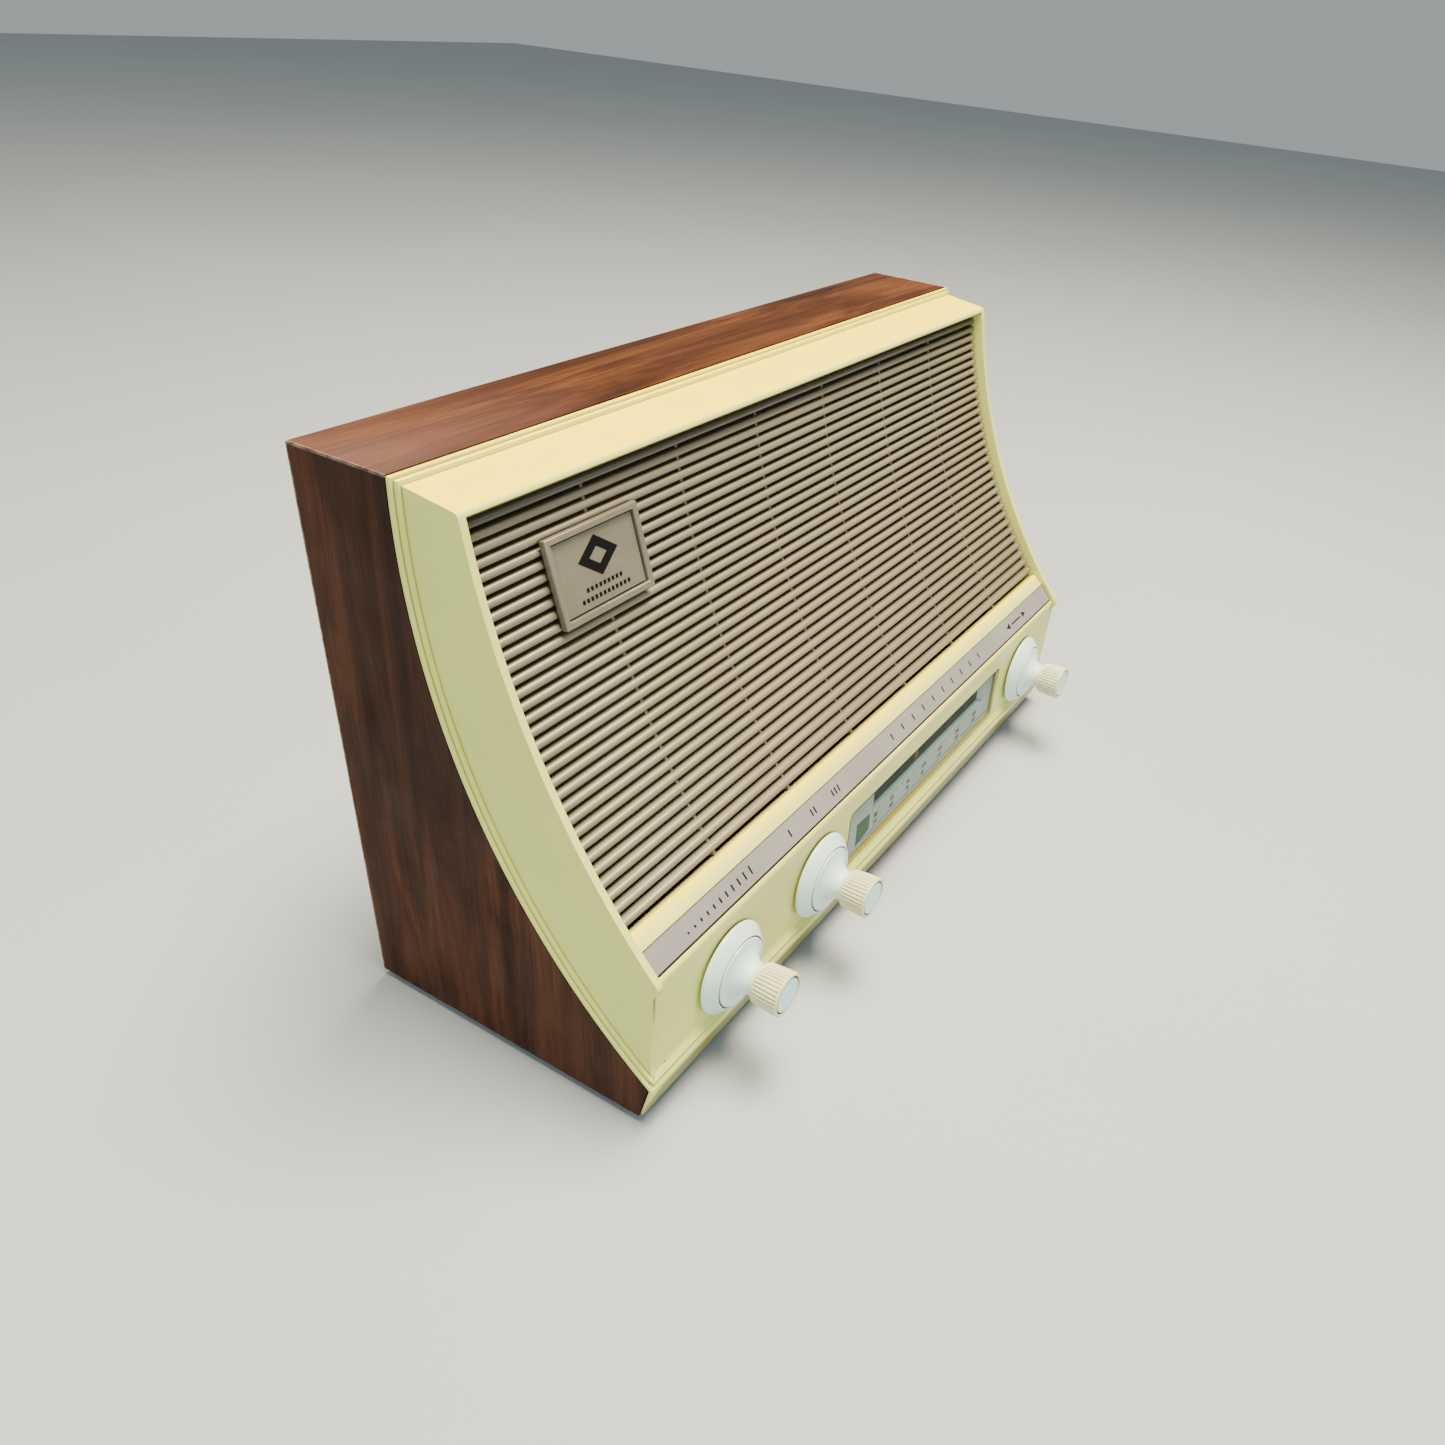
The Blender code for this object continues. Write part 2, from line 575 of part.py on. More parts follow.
def knob(name, x):
    """Skirt, flared neck and grip in one turning, with a blind bore, and a cap in its end."""
    length = KNOB_LENGTH
    profile = [(6.7, length - 1.4), (6.9, length), (7.6, length), (GRIP_R, length - 0.6),
               (7.3, 12.6), (5.7, 12.2), (5.7, 10.6), (7.2, 7.6), (9.8, 5.6), (12.7, 5.0),
               (13.0, 4.4), (13.7, 4.4), (16.6, 1.6), (SKIRT_R, 1.0),
               (SKIRT_R, 0.0), (SHAFT_R + GAP, 0.0), (SHAFT_R + GAP, 16.0), (0.0, 16.0)]
    turned(f"{name}_knob", [(0.0, length - 1.4)] + profile, (x, KNOB_D, KNOB_Z), "y", "knob_plastic")
    cap = [(0.0, 0.9), (6.2, 0.9), (6.4, 0.6), (6.4, 0.0), (0.0, 0.0)]
    turned(f"{name}_knob_cap", cap, (x, KNOB_D + length - 1.4 + GAP, KNOB_Z), "y", "knob_cap", 20)


def shaft(name, x, back_d):
    front_d = KNOB_D + 16.0 - GAP
    cylinder(f"{name}_shaft", (x, (back_d + front_d) / 2, KNOB_Z), SHAFT_R, front_d - back_d, "y",
             "brass", 20)


def volume_control():
    """Potentiometer with its switch can and the threaded bushing that the shaft turns in."""
    bore = SHAFT_R + GAP
    front = CHASSIS_D - 1.4 - GAP
    profile = [(bore, 0.0), (bore, 8.0), (4.6, 8.0), (4.6, 0.0), (12.0, 0.0), (12.0, -9.0), (10.0, -9.2),
               (10.0, -17.0), (0.0, -17.0), (0.0, -8.0), (bore, -8.0)]
    turned("volume_control", profile, (VOLUME_X, front, KNOB_Z), "y", "aluminium", 16)


def band_switch():
    """Rotary wafer switch: index plate, bushing and one wafer on its spacers, drawn as one turning."""
    bore = SHAFT_R + GAP
    front = CHASSIS_D - 1.4 - GAP
    profile = [(bore, 0.0), (bore, 8.0), (4.6, 8.0), (4.6, 0.0), (13.0, 0.0), (13.0, -2.5), (5.5, -2.5),
               (5.5, -9.0), (15.0, -9.0), (15.0, -10.6), (0.0, -10.6), (0.0, -8.0), (bore, -8.0)]
    turned("band_switch", profile, (BAND_X, front, KNOB_Z), "y", "phenolic", 16)


def chassis():
    """Steel front plate that carries the controls, with a shelf turned back at its foot."""
    left, right, top, tab = -156.0, 156.0, 58.0, 2.5
    outline = [(left, 16.5), (right, 16.5), (right, top)]
    for x in (PULLEY_X["right"], PULLEY_X["left"]):
        outline += [(x + tab, top), (x + tab, top + 4.0), (x - tab, top + 4.0), (x - tab, top)]
    outline.append((left, top))
    loops = [outline] + [circle(x, KNOB_Z, 5.0) for x in (VOLUME_X, BAND_X, TUNING_X)]
    loops.append(circle(121.6, 50.4, 2.8, 12))       # the cord passes back through here
    front = plate("front_chassis", loops, 1.4, "front", CHASSIS_D - 0.7, "steel")
    shelf = box("chassis_shelf", (left + 2.0, 84.0, 16.6), (right - 2.0, CHASSIS_D - 0.2, 17.9), None)
    pins = [cylinder(f"pulley_pin_{side}", (x, CORD_D - 1.6, PULLEY_Z), 1.3, 6.0, "y", None, 12)
            for side, x in PULLEY_X.items()]
    combine(front, [shelf] + pins, "UNION")


def tuning_bushing():
    bore = SHAFT_R + GAP
    front = CHASSIS_D - 1.4 - GAP
    profile = [(bore, -6.0), (bore, 6.4), (4.6, 6.4), (4.6, 0.0), (8.0, 0.0), (8.0, -6.0)]
    turned("tuning_bushing", profile, (TUNING_X, front, KNOB_Z), "y", "brass", 16)


# ---------------------------------------------------------------- tuning drive

def tuning_drive():
    """Variable capacitor with the drum on its spindle."""
    x, d, z = DRUM
    groove = CORD_REACH - GROOVE
    front_lip = groove + 0.5    # low, because the cord leaves forward over it
    back_lip = groove + 1.9
    web = groove - 1.9
    drum = [(0.0, 1.6), (web, 1.6), (web + 0.4, 2.4), (front_lip, 2.4), (groove, 0.6),
            (groove, -0.6), (back_lip, -2.6), (web + 0.4, -2.6), (web, -0.2), (6.0, -0.2),
            (6.0, -4.0), (0.0, -4.0)]
    turned("dial_drum", drum, DRUM, "y", "aluminium", 32)
    frame_front = d - 7.0
    outer = rectangle(x - 19.0, x + 19.0, z - 16.0, z + 16.0)
    frame = plate("capacitor_frame", [outer, circle(x, z, 3.4)], 1.6, "front", frame_front - 0.8, "steel")
    rear = box("capacitor_rear", (x - 19.0, frame_front - 34.0, z - 16.0),
               (x + 19.0, frame_front - 32.4, z + 16.0), None)
    floor = box("capacitor_floor", (x - 19.0, frame_front - 33.0, z - 16.0),
                (x + 19.0, frame_front - 0.6, z - 14.4), None)
    foot = box("capacitor_foot", (x - 12.0, frame_front - 26.0, z - 44.0),
               (x + 12.0, frame_front - 24.4, z - 15.0), None)
    combine(frame, [rear, floor, foot], "UNION")
    spindle = cylinder("capacitor_rotor", (x, frame_front - 14.5, z), 2.6, 34.2, "y", "aluminium", 16)
    vanes = []
    edge = turn_points(DRUM, ROTOR_R, ROTOR_REST - 84.0, ROTOR_REST + 84.0, 6)
    edge += turn_points(DRUM, 2.0, ROTOR_REST + 90.0, ROTOR_REST - 90.0, 1)
    fan = [(across, up) for across, _, up in edge]
    for i in range(4):
        vanes.append(plate(f"rotor_vane_{i}", [fan], 1.4, "front", frame_front - 7.0 - i * 4.6, None))
    combine(spindle, vanes, "UNION")
    stator = box("capacitor_stator", (x - 17.0, frame_front - 28.0, z + 4.0),
                 (x - 14.0, frame_front - 4.0, z + 13.0), "brass")
    stator_fan = [(x - 15.0, z + 12.0), (x - 4.0, z + 12.0), (x - 4.0, z + 5.0), (x - 15.0, z + 5.0)]
    plates = [plate(f"stator_vane_{i}", [stator_fan], 1.2, "front", frame_front - 4.7 - i * 4.6, None)
              for i in range(5)]
    combine(stator, plates, "UNION")


def pulleys():
    for side, x in PULLEY_X.items():
        rim = PULLEY_R + 0.2
        pulley = [(1.6, 1.2), (rim, 1.2), (PULLEY_R - 1.5, 0.0), (rim, -1.2), (1.6, -1.2)]
        turned(f"pulley_{side}", pulley, (x, CORD_D, PULLEY_Z), "y", "brass", 16)


def tangent(centre, other, reach):
    """How far the line between two centres turns to where a cord leaves the first one's circle.

    reach is the first radius minus the second, or their sum where the cord crosses over.
    Returns the direction to the other centre and that turn, both in degrees.
    """
    across, up = other[0] - centre[0], other[2] - centre[2]
    turn = math.acos(reach / math.hypot(across, up))
    return math.degrees(math.atan2(up, across)), math.degrees(turn)


def dial_cord():
    """The thread round tuning shaft, pulleys and drum that carries the pointer."""
    shaft_spot = (TUNING_X, SHAFT_CORD_D, KNOB_Z)
    right = (PULLEY_X["right"], CORD_D, PULLEY_Z)
    left = (PULLEY_X["left"], CORD_D, PULLEY_Z)
    towards, turn = tangent(shaft_spot, right, SHAFT_REACH - PULLEY_R)
    off_shaft = towards - turn
    towards, turn = tangent(DRUM, shaft_spot, CORD_REACH + SHAFT_REACH)
    on_drum = towards + turn
    towards, turn = tangent(DRUM, left, CORD_REACH + PULLEY_R)
    off_drum = towards - turn + 360.0
    points = turn_points(shaft_spot, SHAFT_REACH, on_drum + 180.0, off_shaft + 360.0, 8)
    points += turn_points(right, PULLEY_R, off_shaft, 90.0, 3)
    points += turn_points(left, PULLEY_R, 90.0, off_drum + 180.0, 9)
    points += turn_points(DRUM, CORD_REACH, off_drum, on_drum, 14)
    wire("dial_cord", points, CORD_R, "cord_thread", True, 0)


# ---------------------------------------------------------------- electronics and speaker

def electronics():
    board = [rounded(-150.0, 100.0, 30.0, 82.0, 2.0, 2)]
    board += [circle(x, d, 1.8, 12) for x in (-144.0, 94.0) for d in (36.0, 76.0)]
    plate("circuit_board", board, 1.6, "top", 19.0, "phenolic")
    for number, x in enumerate((-96.0, -60.0), start=1):
        box(f"if_can_{number}", (x - 6.0, 50.0, 20.1), (x + 6.0, 62.0, 38.0), "aluminium")
    cylinder("filter_capacitor", (24.0, 50.0, 36.6), 12.5, 33.0, "z", "magnet_black")
    core = rectangle(112.0, 152.0, 12.3, 45.8)
    windows = [rectangle(118.5, 127.0, 18.8, 39.3), rectangle(137.0, 145.5, 18.8, 39.3)]
    plate("transformer_core", [core] + windows, 18.0, "front", 62.0, "magnet_black")
    coil = [rectangle(119.0, 145.0, 48.0, 76.0), rectangle(126.6, 137.4, 52.6, 71.4)]
    plate("transformer_coil", coil, 19.4, "top", 29.05, "copper_wire")


def speaker():
    """A round speaker on a flat board behind the grille."""
    x, front, z = SPEAKER
    board = [rounded(-158.0, 12.0, 86.0, 190.0, 3.0), circle(x, z, 46.0, 32)]
    plate("baffle_board", board, 3.0, "front", front + 1.8, "hardboard")
    basket = [(43.0, 0.0), (50.0, 0.0), (50.0, -1.2), (45.0, -1.4), (24.0, -19.0), (24.0, -21.0),
              (17.5, -21.0), (17.5, -19.6), (22.5, -19.0)]
    turned("speaker_basket", basket, (x, front, z), "y", "steel")
    magnet = [(0.0, -21.4), (22.0, -21.4), (22.0, -34.0), (0.0, -34.0)]
    turned("speaker_magnet", magnet, (x, front, z), "y", "magnet_black", 16)
    cone = [(0.0, -11.6), (9.0, -11.6), (40.5, -0.2), (41.5, -0.2), (41.5, -0.8), (10.0, -12.8),
            (0.0, -12.8)]
    turned("speaker_cone", cone, (x, front, z), "y", "paper_cone")


def aerial():
    """Ferrite rod with its coil on two clips under the cabinet's top, and the rear terminals."""
    x, d, z = ROD
    cylinder("ferrite_rod", ROD, 4.8, 120.0, "x", "ferrite", 16)
    coil = [(5.2, -14.0), (5.2, 14.0), (7.0, 14.0), (7.0, -14.0)]
    turned("aerial_coil", coil, (x - 15.0, d, z), "x", "copper_wire", 16)
    for number, spot in enumerate((x - 47.0, x + 47.0), start=1):
        clip = [rounded(d - 7.0, d + 7.0, z - 8.0, TOP_Z - BOARD - GAP, 1.0, 2), circle(d, z, 5.2, 16)]
        plate(f"rod_clip_{number}", clip, 5.0, "side", spot, "phenolic")
    plate("aerial_terminals", [rounded(*TERMINALS, 1.0, 2)], COVER_T, "front", COVER_D, "phenolic")


def build():
    cabinet()
    back_cover()
    feet()
    front_bezel()
    grille()
    badge()
    label_strip()
    dial()
    for name, x in (("volume", VOLUME_X), ("band", BAND_X), ("tuning", TUNING_X)):
        knob(name, x)
    shaft("volume", VOLUME_X, CHASSIS_D - 8.0)
    shaft("band", BAND_X, CHASSIS_D - 8.0)
    shaft("tuning", TUNING_X, CHASSIS_D - 14.0)
    volume_control()
    band_switch()
    chassis()
    tuning_bushing()
    tuning_drive()
    pulleys()
    dial_cord()
    electronics()
    speaker()
    aerial()


build()
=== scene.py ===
"""Looks of the walnut and cream table radio: fine pieces and procedural materials on the frame.

Lengths are in millimetres and become metres in spot() and MM. A place is (x, d, z): d is the
distance forward of the cabinet's back edge, and z the height above the floor.
"""
import math

import bmesh
import bpy
from mathutils import Matrix, Vector


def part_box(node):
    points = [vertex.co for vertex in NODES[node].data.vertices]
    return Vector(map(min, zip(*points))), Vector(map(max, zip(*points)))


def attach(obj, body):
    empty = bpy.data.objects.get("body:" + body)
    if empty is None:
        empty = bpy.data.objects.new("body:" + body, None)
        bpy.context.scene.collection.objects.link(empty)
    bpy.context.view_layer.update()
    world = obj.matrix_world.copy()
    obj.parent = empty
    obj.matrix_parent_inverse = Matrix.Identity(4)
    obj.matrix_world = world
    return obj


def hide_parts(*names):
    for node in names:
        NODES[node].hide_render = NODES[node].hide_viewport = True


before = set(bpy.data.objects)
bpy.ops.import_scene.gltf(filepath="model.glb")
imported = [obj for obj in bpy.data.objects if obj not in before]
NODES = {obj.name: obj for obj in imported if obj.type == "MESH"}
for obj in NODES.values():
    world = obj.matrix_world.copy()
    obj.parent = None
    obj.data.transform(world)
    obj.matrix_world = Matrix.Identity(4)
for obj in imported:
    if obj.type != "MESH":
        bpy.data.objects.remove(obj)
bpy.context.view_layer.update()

MM = 0.001
BACK_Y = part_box("cabinet_top")[1].y
HALF_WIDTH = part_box("front_bezel")[1].x / MM
TOP_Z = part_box("cabinet_top")[1].z / MM

# The moulded front's lines, as in the solid model but with more points where they turn
WOOD_ARC = (261.5, 193.0, 223.0)        # centre d, centre z and radius
RIM_ARC = (322.1, 238.8, 263.0)
GAP = 0.3
FLANGE = 1.5
STEP = 1.6
STEP_INSET = 1.2
BAND_INSET = 2.4
WALL = 2.6
BAND_X = HALF_WIDTH - BAND_INSET
HOOD_TOP = TOP_Z - BAND_INSET
HOOD_LINE = [(39.6, HOOD_TOP), (60.6, 199.9), (61.5, 199.6), (62.0, 199.0), (62.1, 198.2)]
NOSE_LINE = [(125.5, 64.0), (126.0, 63.1), (126.15, 62.0), (125.9, 61.0), (125.1, 59.8),
             (124.2, 58.2)]
PANEL_FOOT = (122.9, 24.0)
COVE_LINE = [PANEL_FOOT, (123.25, 22.8), (123.65, 21.5), (124.1, 20.2), (124.7, 18.9)]
LIP = (125.3, 17.8)
LIP_FOOT = (121.3, 4.6)
PANEL_BACK_D = 120.3
SEAT_TOP, SEAT_FOOT = (116.4, 70.5), (122.7, 63.0)     # the sloping seat of the foil strip
WINDOW = (-43.5, 101.0, 25.2, 52.0)     # left, right, bottom, top of the dial's opening
SLOT = (-20.0, 89.5, 38.0, 49.5)        # the clear strip that the pointer shows through
HOLLOW_Z = 23.0                         # foot of the hollow cut through the flange
FINE_ARC = 60                           # straight pieces in each long arc
BOARD = 9.0                             # thickness of the wooden boards
SHAFT_HOLE_R = 5.0
GRILLE_RECESS = 3.6
SLATS = 32
SLAT_PITCH = 3.756
SLAT_H = 2.75
SLAT_NOSE = 1.6
SLAT_DEPTH = 3.6
GRILLE_TOP_Z = 195.5
GRILLE_HALF = BAND_X - WALL - GAP
SLAT_END = GRILLE_HALF - 0.6
SLAT_SOFT = 0.5                         # how far the slats' ends are softened
INNER_RIBS = 6
RIB_HALF = 0.6                          # half a rib's width
RIB_DEPTH = 1.3                         # from the slats' fronts to the ribs'
RIB_STEPS = 40
BADGE_SIZE = (41.4, 28.0)
FRAME_RIM = 2.1                         # width of the badge's frame
FRAME_HALF = 1.3                        # half its thickness
PRINT_T = 0.04                          # how far printed marks stand out
TICK = (0.8, 2.8)                       # width and height of a tick on the foil strip
FLUTES = 34                             # round each knob's grip
FLUTE_DEPTH = 0.42


# ---------------------------------------------------------------- shapes

def spot(x, d, z):
    return Vector((x * MM, BACK_Y - d * MM, z * MM))


def smooth(mesh, angle=38.0):
    mesh.shade_smooth()
    mesh.set_sharp_from_angle(angle=math.radians(angle))


def piece(name, mesh, material, body="radio", matrix=None):
    """A finished piece that rides on a body and takes its finish from a slot."""
    obj = bpy.data.objects.new(name, mesh)
    bpy.context.scene.collection.objects.link(obj)
    if matrix is not None:
        obj.matrix_world = matrix
    mesh.materials.clear()
    mesh.materials.append(material)
    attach(obj, body)
    return obj


def helper(name, mesh):
    """An object that only cuts or joins another one."""
    obj = bpy.data.objects.new(name, mesh)
    bpy.context.scene.collection.objects.link(obj)
    obj.hide_render = True
    obj.hide_viewport = True
    return obj


def wall(bm, first, second):
    """Faces between two closed rings of the same number of vertices."""
    for i in range(len(first)):
        j = (i + 1) % len(first)
        bm.faces.new((first[i], second[i], second[j], first[j]))


def closed(bm, first, second):
    """The two rings filled, and the wall between them."""
    bm.faces.new(first)
    bm.faces.new(second[::-1])
    wall(bm, first, second)


def finished(name, bm, turn_outward=True):
    """The bmesh as a mesh, with its normals outward unless they are kept as they are."""
    if turn_outward:
        bmesh.ops.recalc_face_normals(bm, faces=bm.faces)
    mesh = bpy.data.meshes.new(name)
    bm.to_mesh(mesh)
    bm.free()
    return mesh


def joined(name, meshes):
    """Several meshes as one."""
    bm = bmesh.new()
    for mesh in meshes:
        bm.from_mesh(mesh)
        bpy.data.meshes.remove(mesh)
    return finished(name, bm, turn_outward=False)


def prism_mesh(name, outline, left, right):
    """An outline (d, z) drawn out along X."""
    bm = bmesh.new()
    closed(bm, *[[bm.verts.new(spot(x, d, z)) for d, z in outline] for x in (left, right)])
    return finished(name, bm)


def bevelled(mesh, width, segments=3, angle=60.0):
    """The mesh with its sharp edges rounded."""
    bm = bmesh.new()
    bm.from_mesh(mesh)
    limit = math.radians(angle)
    edges = [e for e in bm.edges if e.is_manifold and e.calc_face_angle() > limit]
    bmesh.ops.bevel(bm, geom=edges, offset=width * MM, offset_type="OFFSET", segments=segments,
                    profile=0.5, affect="EDGES", clamp_overlap=True)
    bm.to_mesh(mesh)
    bm.free()
    return mesh


def arc_points(arc, z_from, z_to, count, offset=0.0):
    """Points (d, z) down an arc, evenly spaced by angle; a positive offset moves them back."""
    centre_d, centre_z, radius = arc
    radius += offset
    angles = [math.asin((z - centre_z) / radius) for z in (z_from, z_to)]
    points = []
    for i in range(count + 1):
        angle = angles[0] + (angles[1] - angles[0]) * i / count
        points.append((centre_d - radius * math.cos(angle), centre_z + radius * math.sin(angle)))
    return points


def rounded(left, right, bottom, top, radius, steps=6):
    """A rectangle with round corners."""
    corners = ((right - radius, bottom + radius, -90), (right - radius, top - radius, 0),
               (left + radius, top - radius, 90), (left + radius, bottom + radius, 180))
    points = []
    for cx, cz, start in corners:
        for i in range(steps + 1):
            angle = math.radians(start + 90 * i / steps)
            points.append((cx + radius * math.cos(angle), cz + radius * math.sin(angle)))
    return points


def bar(x, y, width, height):
    """A rectangle about its middle."""
    return [(x - width / 2, y - height / 2), (x + width / 2, y - height / 2),
            (x + width / 2, y + height / 2), (x - width / 2, y + height / 2)]


def front_plate(name, outline, d_back, d_front):
    """An outline (x, z) with a thickness from back to front."""
    bm = bmesh.new()
    closed(bm, *[[bm.verts.new(spot(x, d, z)) for x, z in outline] for d in (d_back, d_front)])
    return finished(name, bm)


def turned_mesh(name, profile, centre, steps, radius_at=None):
    """A profile (radius, distance forward) turned about an axis along Y through centre.

    radius_at(angle, radius, forward) may change a radius, for flutes.
    """
    cx, cd, cz = centre
    bm = bmesh.new()
    rings = []
    for radius, forward in profile:
        if radius < 1e-6:
            rings.append([bm.verts.new(spot(cx, cd + forward, cz))])
            continue
        ring = []
        for i in range(steps):
            angle = 2 * math.pi * i / steps
            reach = radius_at(angle, radius, forward) if radius_at else radius
            ring.append(bm.verts.new(spot(cx + reach * math.cos(angle), cd + forward,
                                          cz + reach * math.sin(angle))))
        rings.append(ring)
    for first, second in zip(rings, rings[1:]):
        for i in range(steps):
            j = (i + 1) % steps
            corners = [first[i % len(first)], first[j % len(first)],
                       second[j % len(second)], second[i % len(second)]]
            unique = list(dict.fromkeys(corners))
            if len(unique) > 2:
                bm.faces.new(unique)
    mesh = finished(name, bm)
    smooth(mesh)
    return mesh


# ---------------------------------------------------------------- materials

def start_material(name):
    material = bpy.data.materials.new(name)
    material.use_nodes = True
    tree = material.node_tree
    return material, tree, tree.nodes["Principled BSDF"]


def add(tree, kind, inputs=None, **settings):
    """A shader node with its settings and inputs; an input that is a socket becomes a link."""
    node = tree.nodes.new("ShaderNode" + kind)
    for key, value in settings.items():
        setattr(node, key, value)
    for key, value in (inputs or {}).items():
        if isinstance(value, bpy.types.NodeSocket):
            tree.links.new(value, node.inputs[key])
        else:
            node.inputs[key].default_value = value
    return node


def coordinates(tree, scale=(1.0, 1.0, 1.0), shift=(0.0, 0.0, 0.0), turn=(0.0, 0.0, 0.0)):
    source = add(tree, "TexCoord").outputs["Object"]
    mapping = add(tree, "Mapping", {"Vector": source, "Scale": scale, "Location": shift,
                                    "Rotation": turn})
    return mapping.outputs["Vector"]


def object_place(tree):
    """A node with the object's own X, Y and Z, in metres."""
    return add(tree, "SeparateXYZ", {"Vector": add(tree, "TexCoord").outputs["Object"]})


def noise(tree, vector, scale, detail=4.0, roughness=0.55, distortion=0.0):
    node = add(tree, "TexNoise", {"Vector": vector, "Scale": scale, "Detail": detail,
                                  "Roughness": roughness, "Distortion": distortion})
    return node.outputs["Fac"]


def ramp(tree, factor, stops):
    """A colour ramp: stops are (position, colour), where a colour may be one number for grey."""
    node = add(tree, "ValToRGB", {"Fac": factor})
    band = node.color_ramp
    while len(band.elements) < len(stops):
        band.elements.new(1.0)
    for element, (position, colour) in zip(band.elements, stops):
        element.position = position
        if isinstance(colour, (int, float)):
            colour = (colour, colour, colour)
        element.color = (*colour, 1.0)
    return node.outputs["Color"]


def blend(tree, mode, factor, first, second):
    node = add(tree, "Mix", data_type="RGBA", blend_type=mode)
    for index, value in ((0, factor), (6, first), (7, second)):
        if isinstance(value, bpy.types.NodeSocket):
            tree.links.new(value, node.inputs[index])
        elif index == 0:
            node.inputs[index].default_value = value
        else:
            node.inputs[index].default_value = (*value, 1.0)
    return node.outputs[2]


def maths(tree, operation, first, second=0.0, clamp=False):
    node = add(tree, "Math", operation=operation, use_clamp=clamp)
    for index, value in enumerate((first, second)):
        if isinstance(value, bpy.types.NodeSocket):
            tree.links.new(value, node.inputs[index])
        else:
            node.inputs[index].default_value = value
    return node.outputs[0]


def bump(tree, shader, height, strength, distance):
    node = add(tree, "Bump", {"Height": height, "Strength": strength, "Distance": distance * MM})
    tree.links.new(node.outputs["Normal"], shader.inputs["Normal"])


def band_mask(tree, value, low, high):
    """0 to 1 as a place in metres goes from low to high, in millimetres."""
    limits = {"Value": value, "From Min": low * MM, "From Max": high * MM}
    return add(tree, "MapRange", limits).outputs[0]


def dirt_and_shade_mask(tree, reach, low, high):
    """White in grooves and tight corners, where dirt stays and shade falls: a mask for dirt and
    painted shade.
    """
    shut = add(tree, "AmbientOcclusion", {"Distance": reach * MM}, samples=8)
    limits = {"Value": shut.outputs["AO"], "From Min": high, "From Max": low}
    return add(tree, "MapRange", limits).outputs[0]


def tinted(colour, factor):
    return tuple(min(1.0, channel * factor) for channel in colour)


def walnut(name, along, dark, middle, light, seed, gloss, shine, haze):
    """Walnut veneer with its grain along one axis ("x", "y" or "z").

    gloss is its lowest roughness and haze how strongly a painted sheen, a greyish reflection,
    lightens it towards the left end.
    Its outer back and top edges are rubbed pale.
    """
    material, tree, shader = start_material(name)
    order = {"x": (1.0, 9.0, 9.0), "y": (9.0, 1.0, 9.0), "z": (9.0, 9.0, 1.0)}[along]
    broad = coordinates(tree, tuple(7.0 * k for k in order), (seed, seed * 1.7, seed * 0.6))
    figure = noise(tree, broad, 1.0, 7.0, 0.62, 0.9)
    base = ramp(tree, figure, [(0.30, dark), (0.47, middle), (0.60, light), (0.74, middle)])
    spread = coordinates(tree, (9.0, 9.0, 9.0), (seed * 2.0, 0.0, seed))
    patches = noise(tree, spread, 1.0, 3.0, 0.5)
    shade = ramp(tree, patches, [(0.25, 0.45), (0.75, 1.0)])
    base = blend(tree, "MULTIPLY", 0.75, base, shade)
    fine_scale = tuple(26.0 * k * (5.0 if k > 1 else 1.0) for k in order)
    pores = noise(tree, coordinates(tree, fine_scale, (0.0, seed, 0.0)), 1.0, 5.0, 0.7)
    pore_dark = ramp(tree, pores, [(0.36, 0.28), (0.52, 1.0)])
    base = blend(tree, "MULTIPLY", 0.6, base, pore_dark)
    # painted reflection: greyish sheen in patches, only towards the left end
    painted_sheen = noise(tree, coordinates(tree, (6.0, 14.0, 14.0), (seed, seed, 0.0)), 1.0, 5.0, 0.6)
    painted_sheen = maths(tree, "MULTIPLY", ramp(tree, painted_sheen, [(0.36, 0.25), (0.66, 1.0)]), haze)
    place = object_place(tree)
    painted_sheen = maths(tree, "MULTIPLY", painted_sheen, band_mask(tree, place.outputs["X"], -70.0, -165.0))
    base = blend(tree, "MIX", painted_sheen, base, (0.15, 0.088, 0.078))
    outer = maths(tree, "ABSOLUTE", place.outputs["X"])
    at_end = band_mask(tree, outer, HALF_WIDTH - 0.9, HALF_WIDTH - 0.2)
    at_back = band_mask(tree, place.outputs["Y"], BACK_Y / MM - 0.9, BACK_Y / MM - 0.2)
    at_top = band_mask(tree, place.outputs["Z"], TOP_Z - 0.9, TOP_Z - 0.2)
    rims = maths(tree, "MULTIPLY", at_end, maths(tree, "MAXIMUM", at_back, at_top))
    chips = noise(tree, coordinates(tree), 260.0, 6.0, 0.75)
    worn = maths(tree, "MULTIPLY", rims, ramp(tree, chips, [(0.40, 0.15), (0.58, 0.9)]))
    base = blend(tree, "MIX", worn, base, (0.34, 0.25, 0.19))
    tree.links.new(base, shader.inputs["Base Color"])
    rough = ramp(tree, noise(tree, coordinates(tree), 60.0, 4.0),
                 [(0.3, gloss), (0.7, gloss + 0.2)])
    tree.links.new(rough, shader.inputs["Roughness"])
    shader.inputs["Specular IOR Level"].default_value = shine
    bump(tree, shader, pores, 0.25, 0.12)
    return material


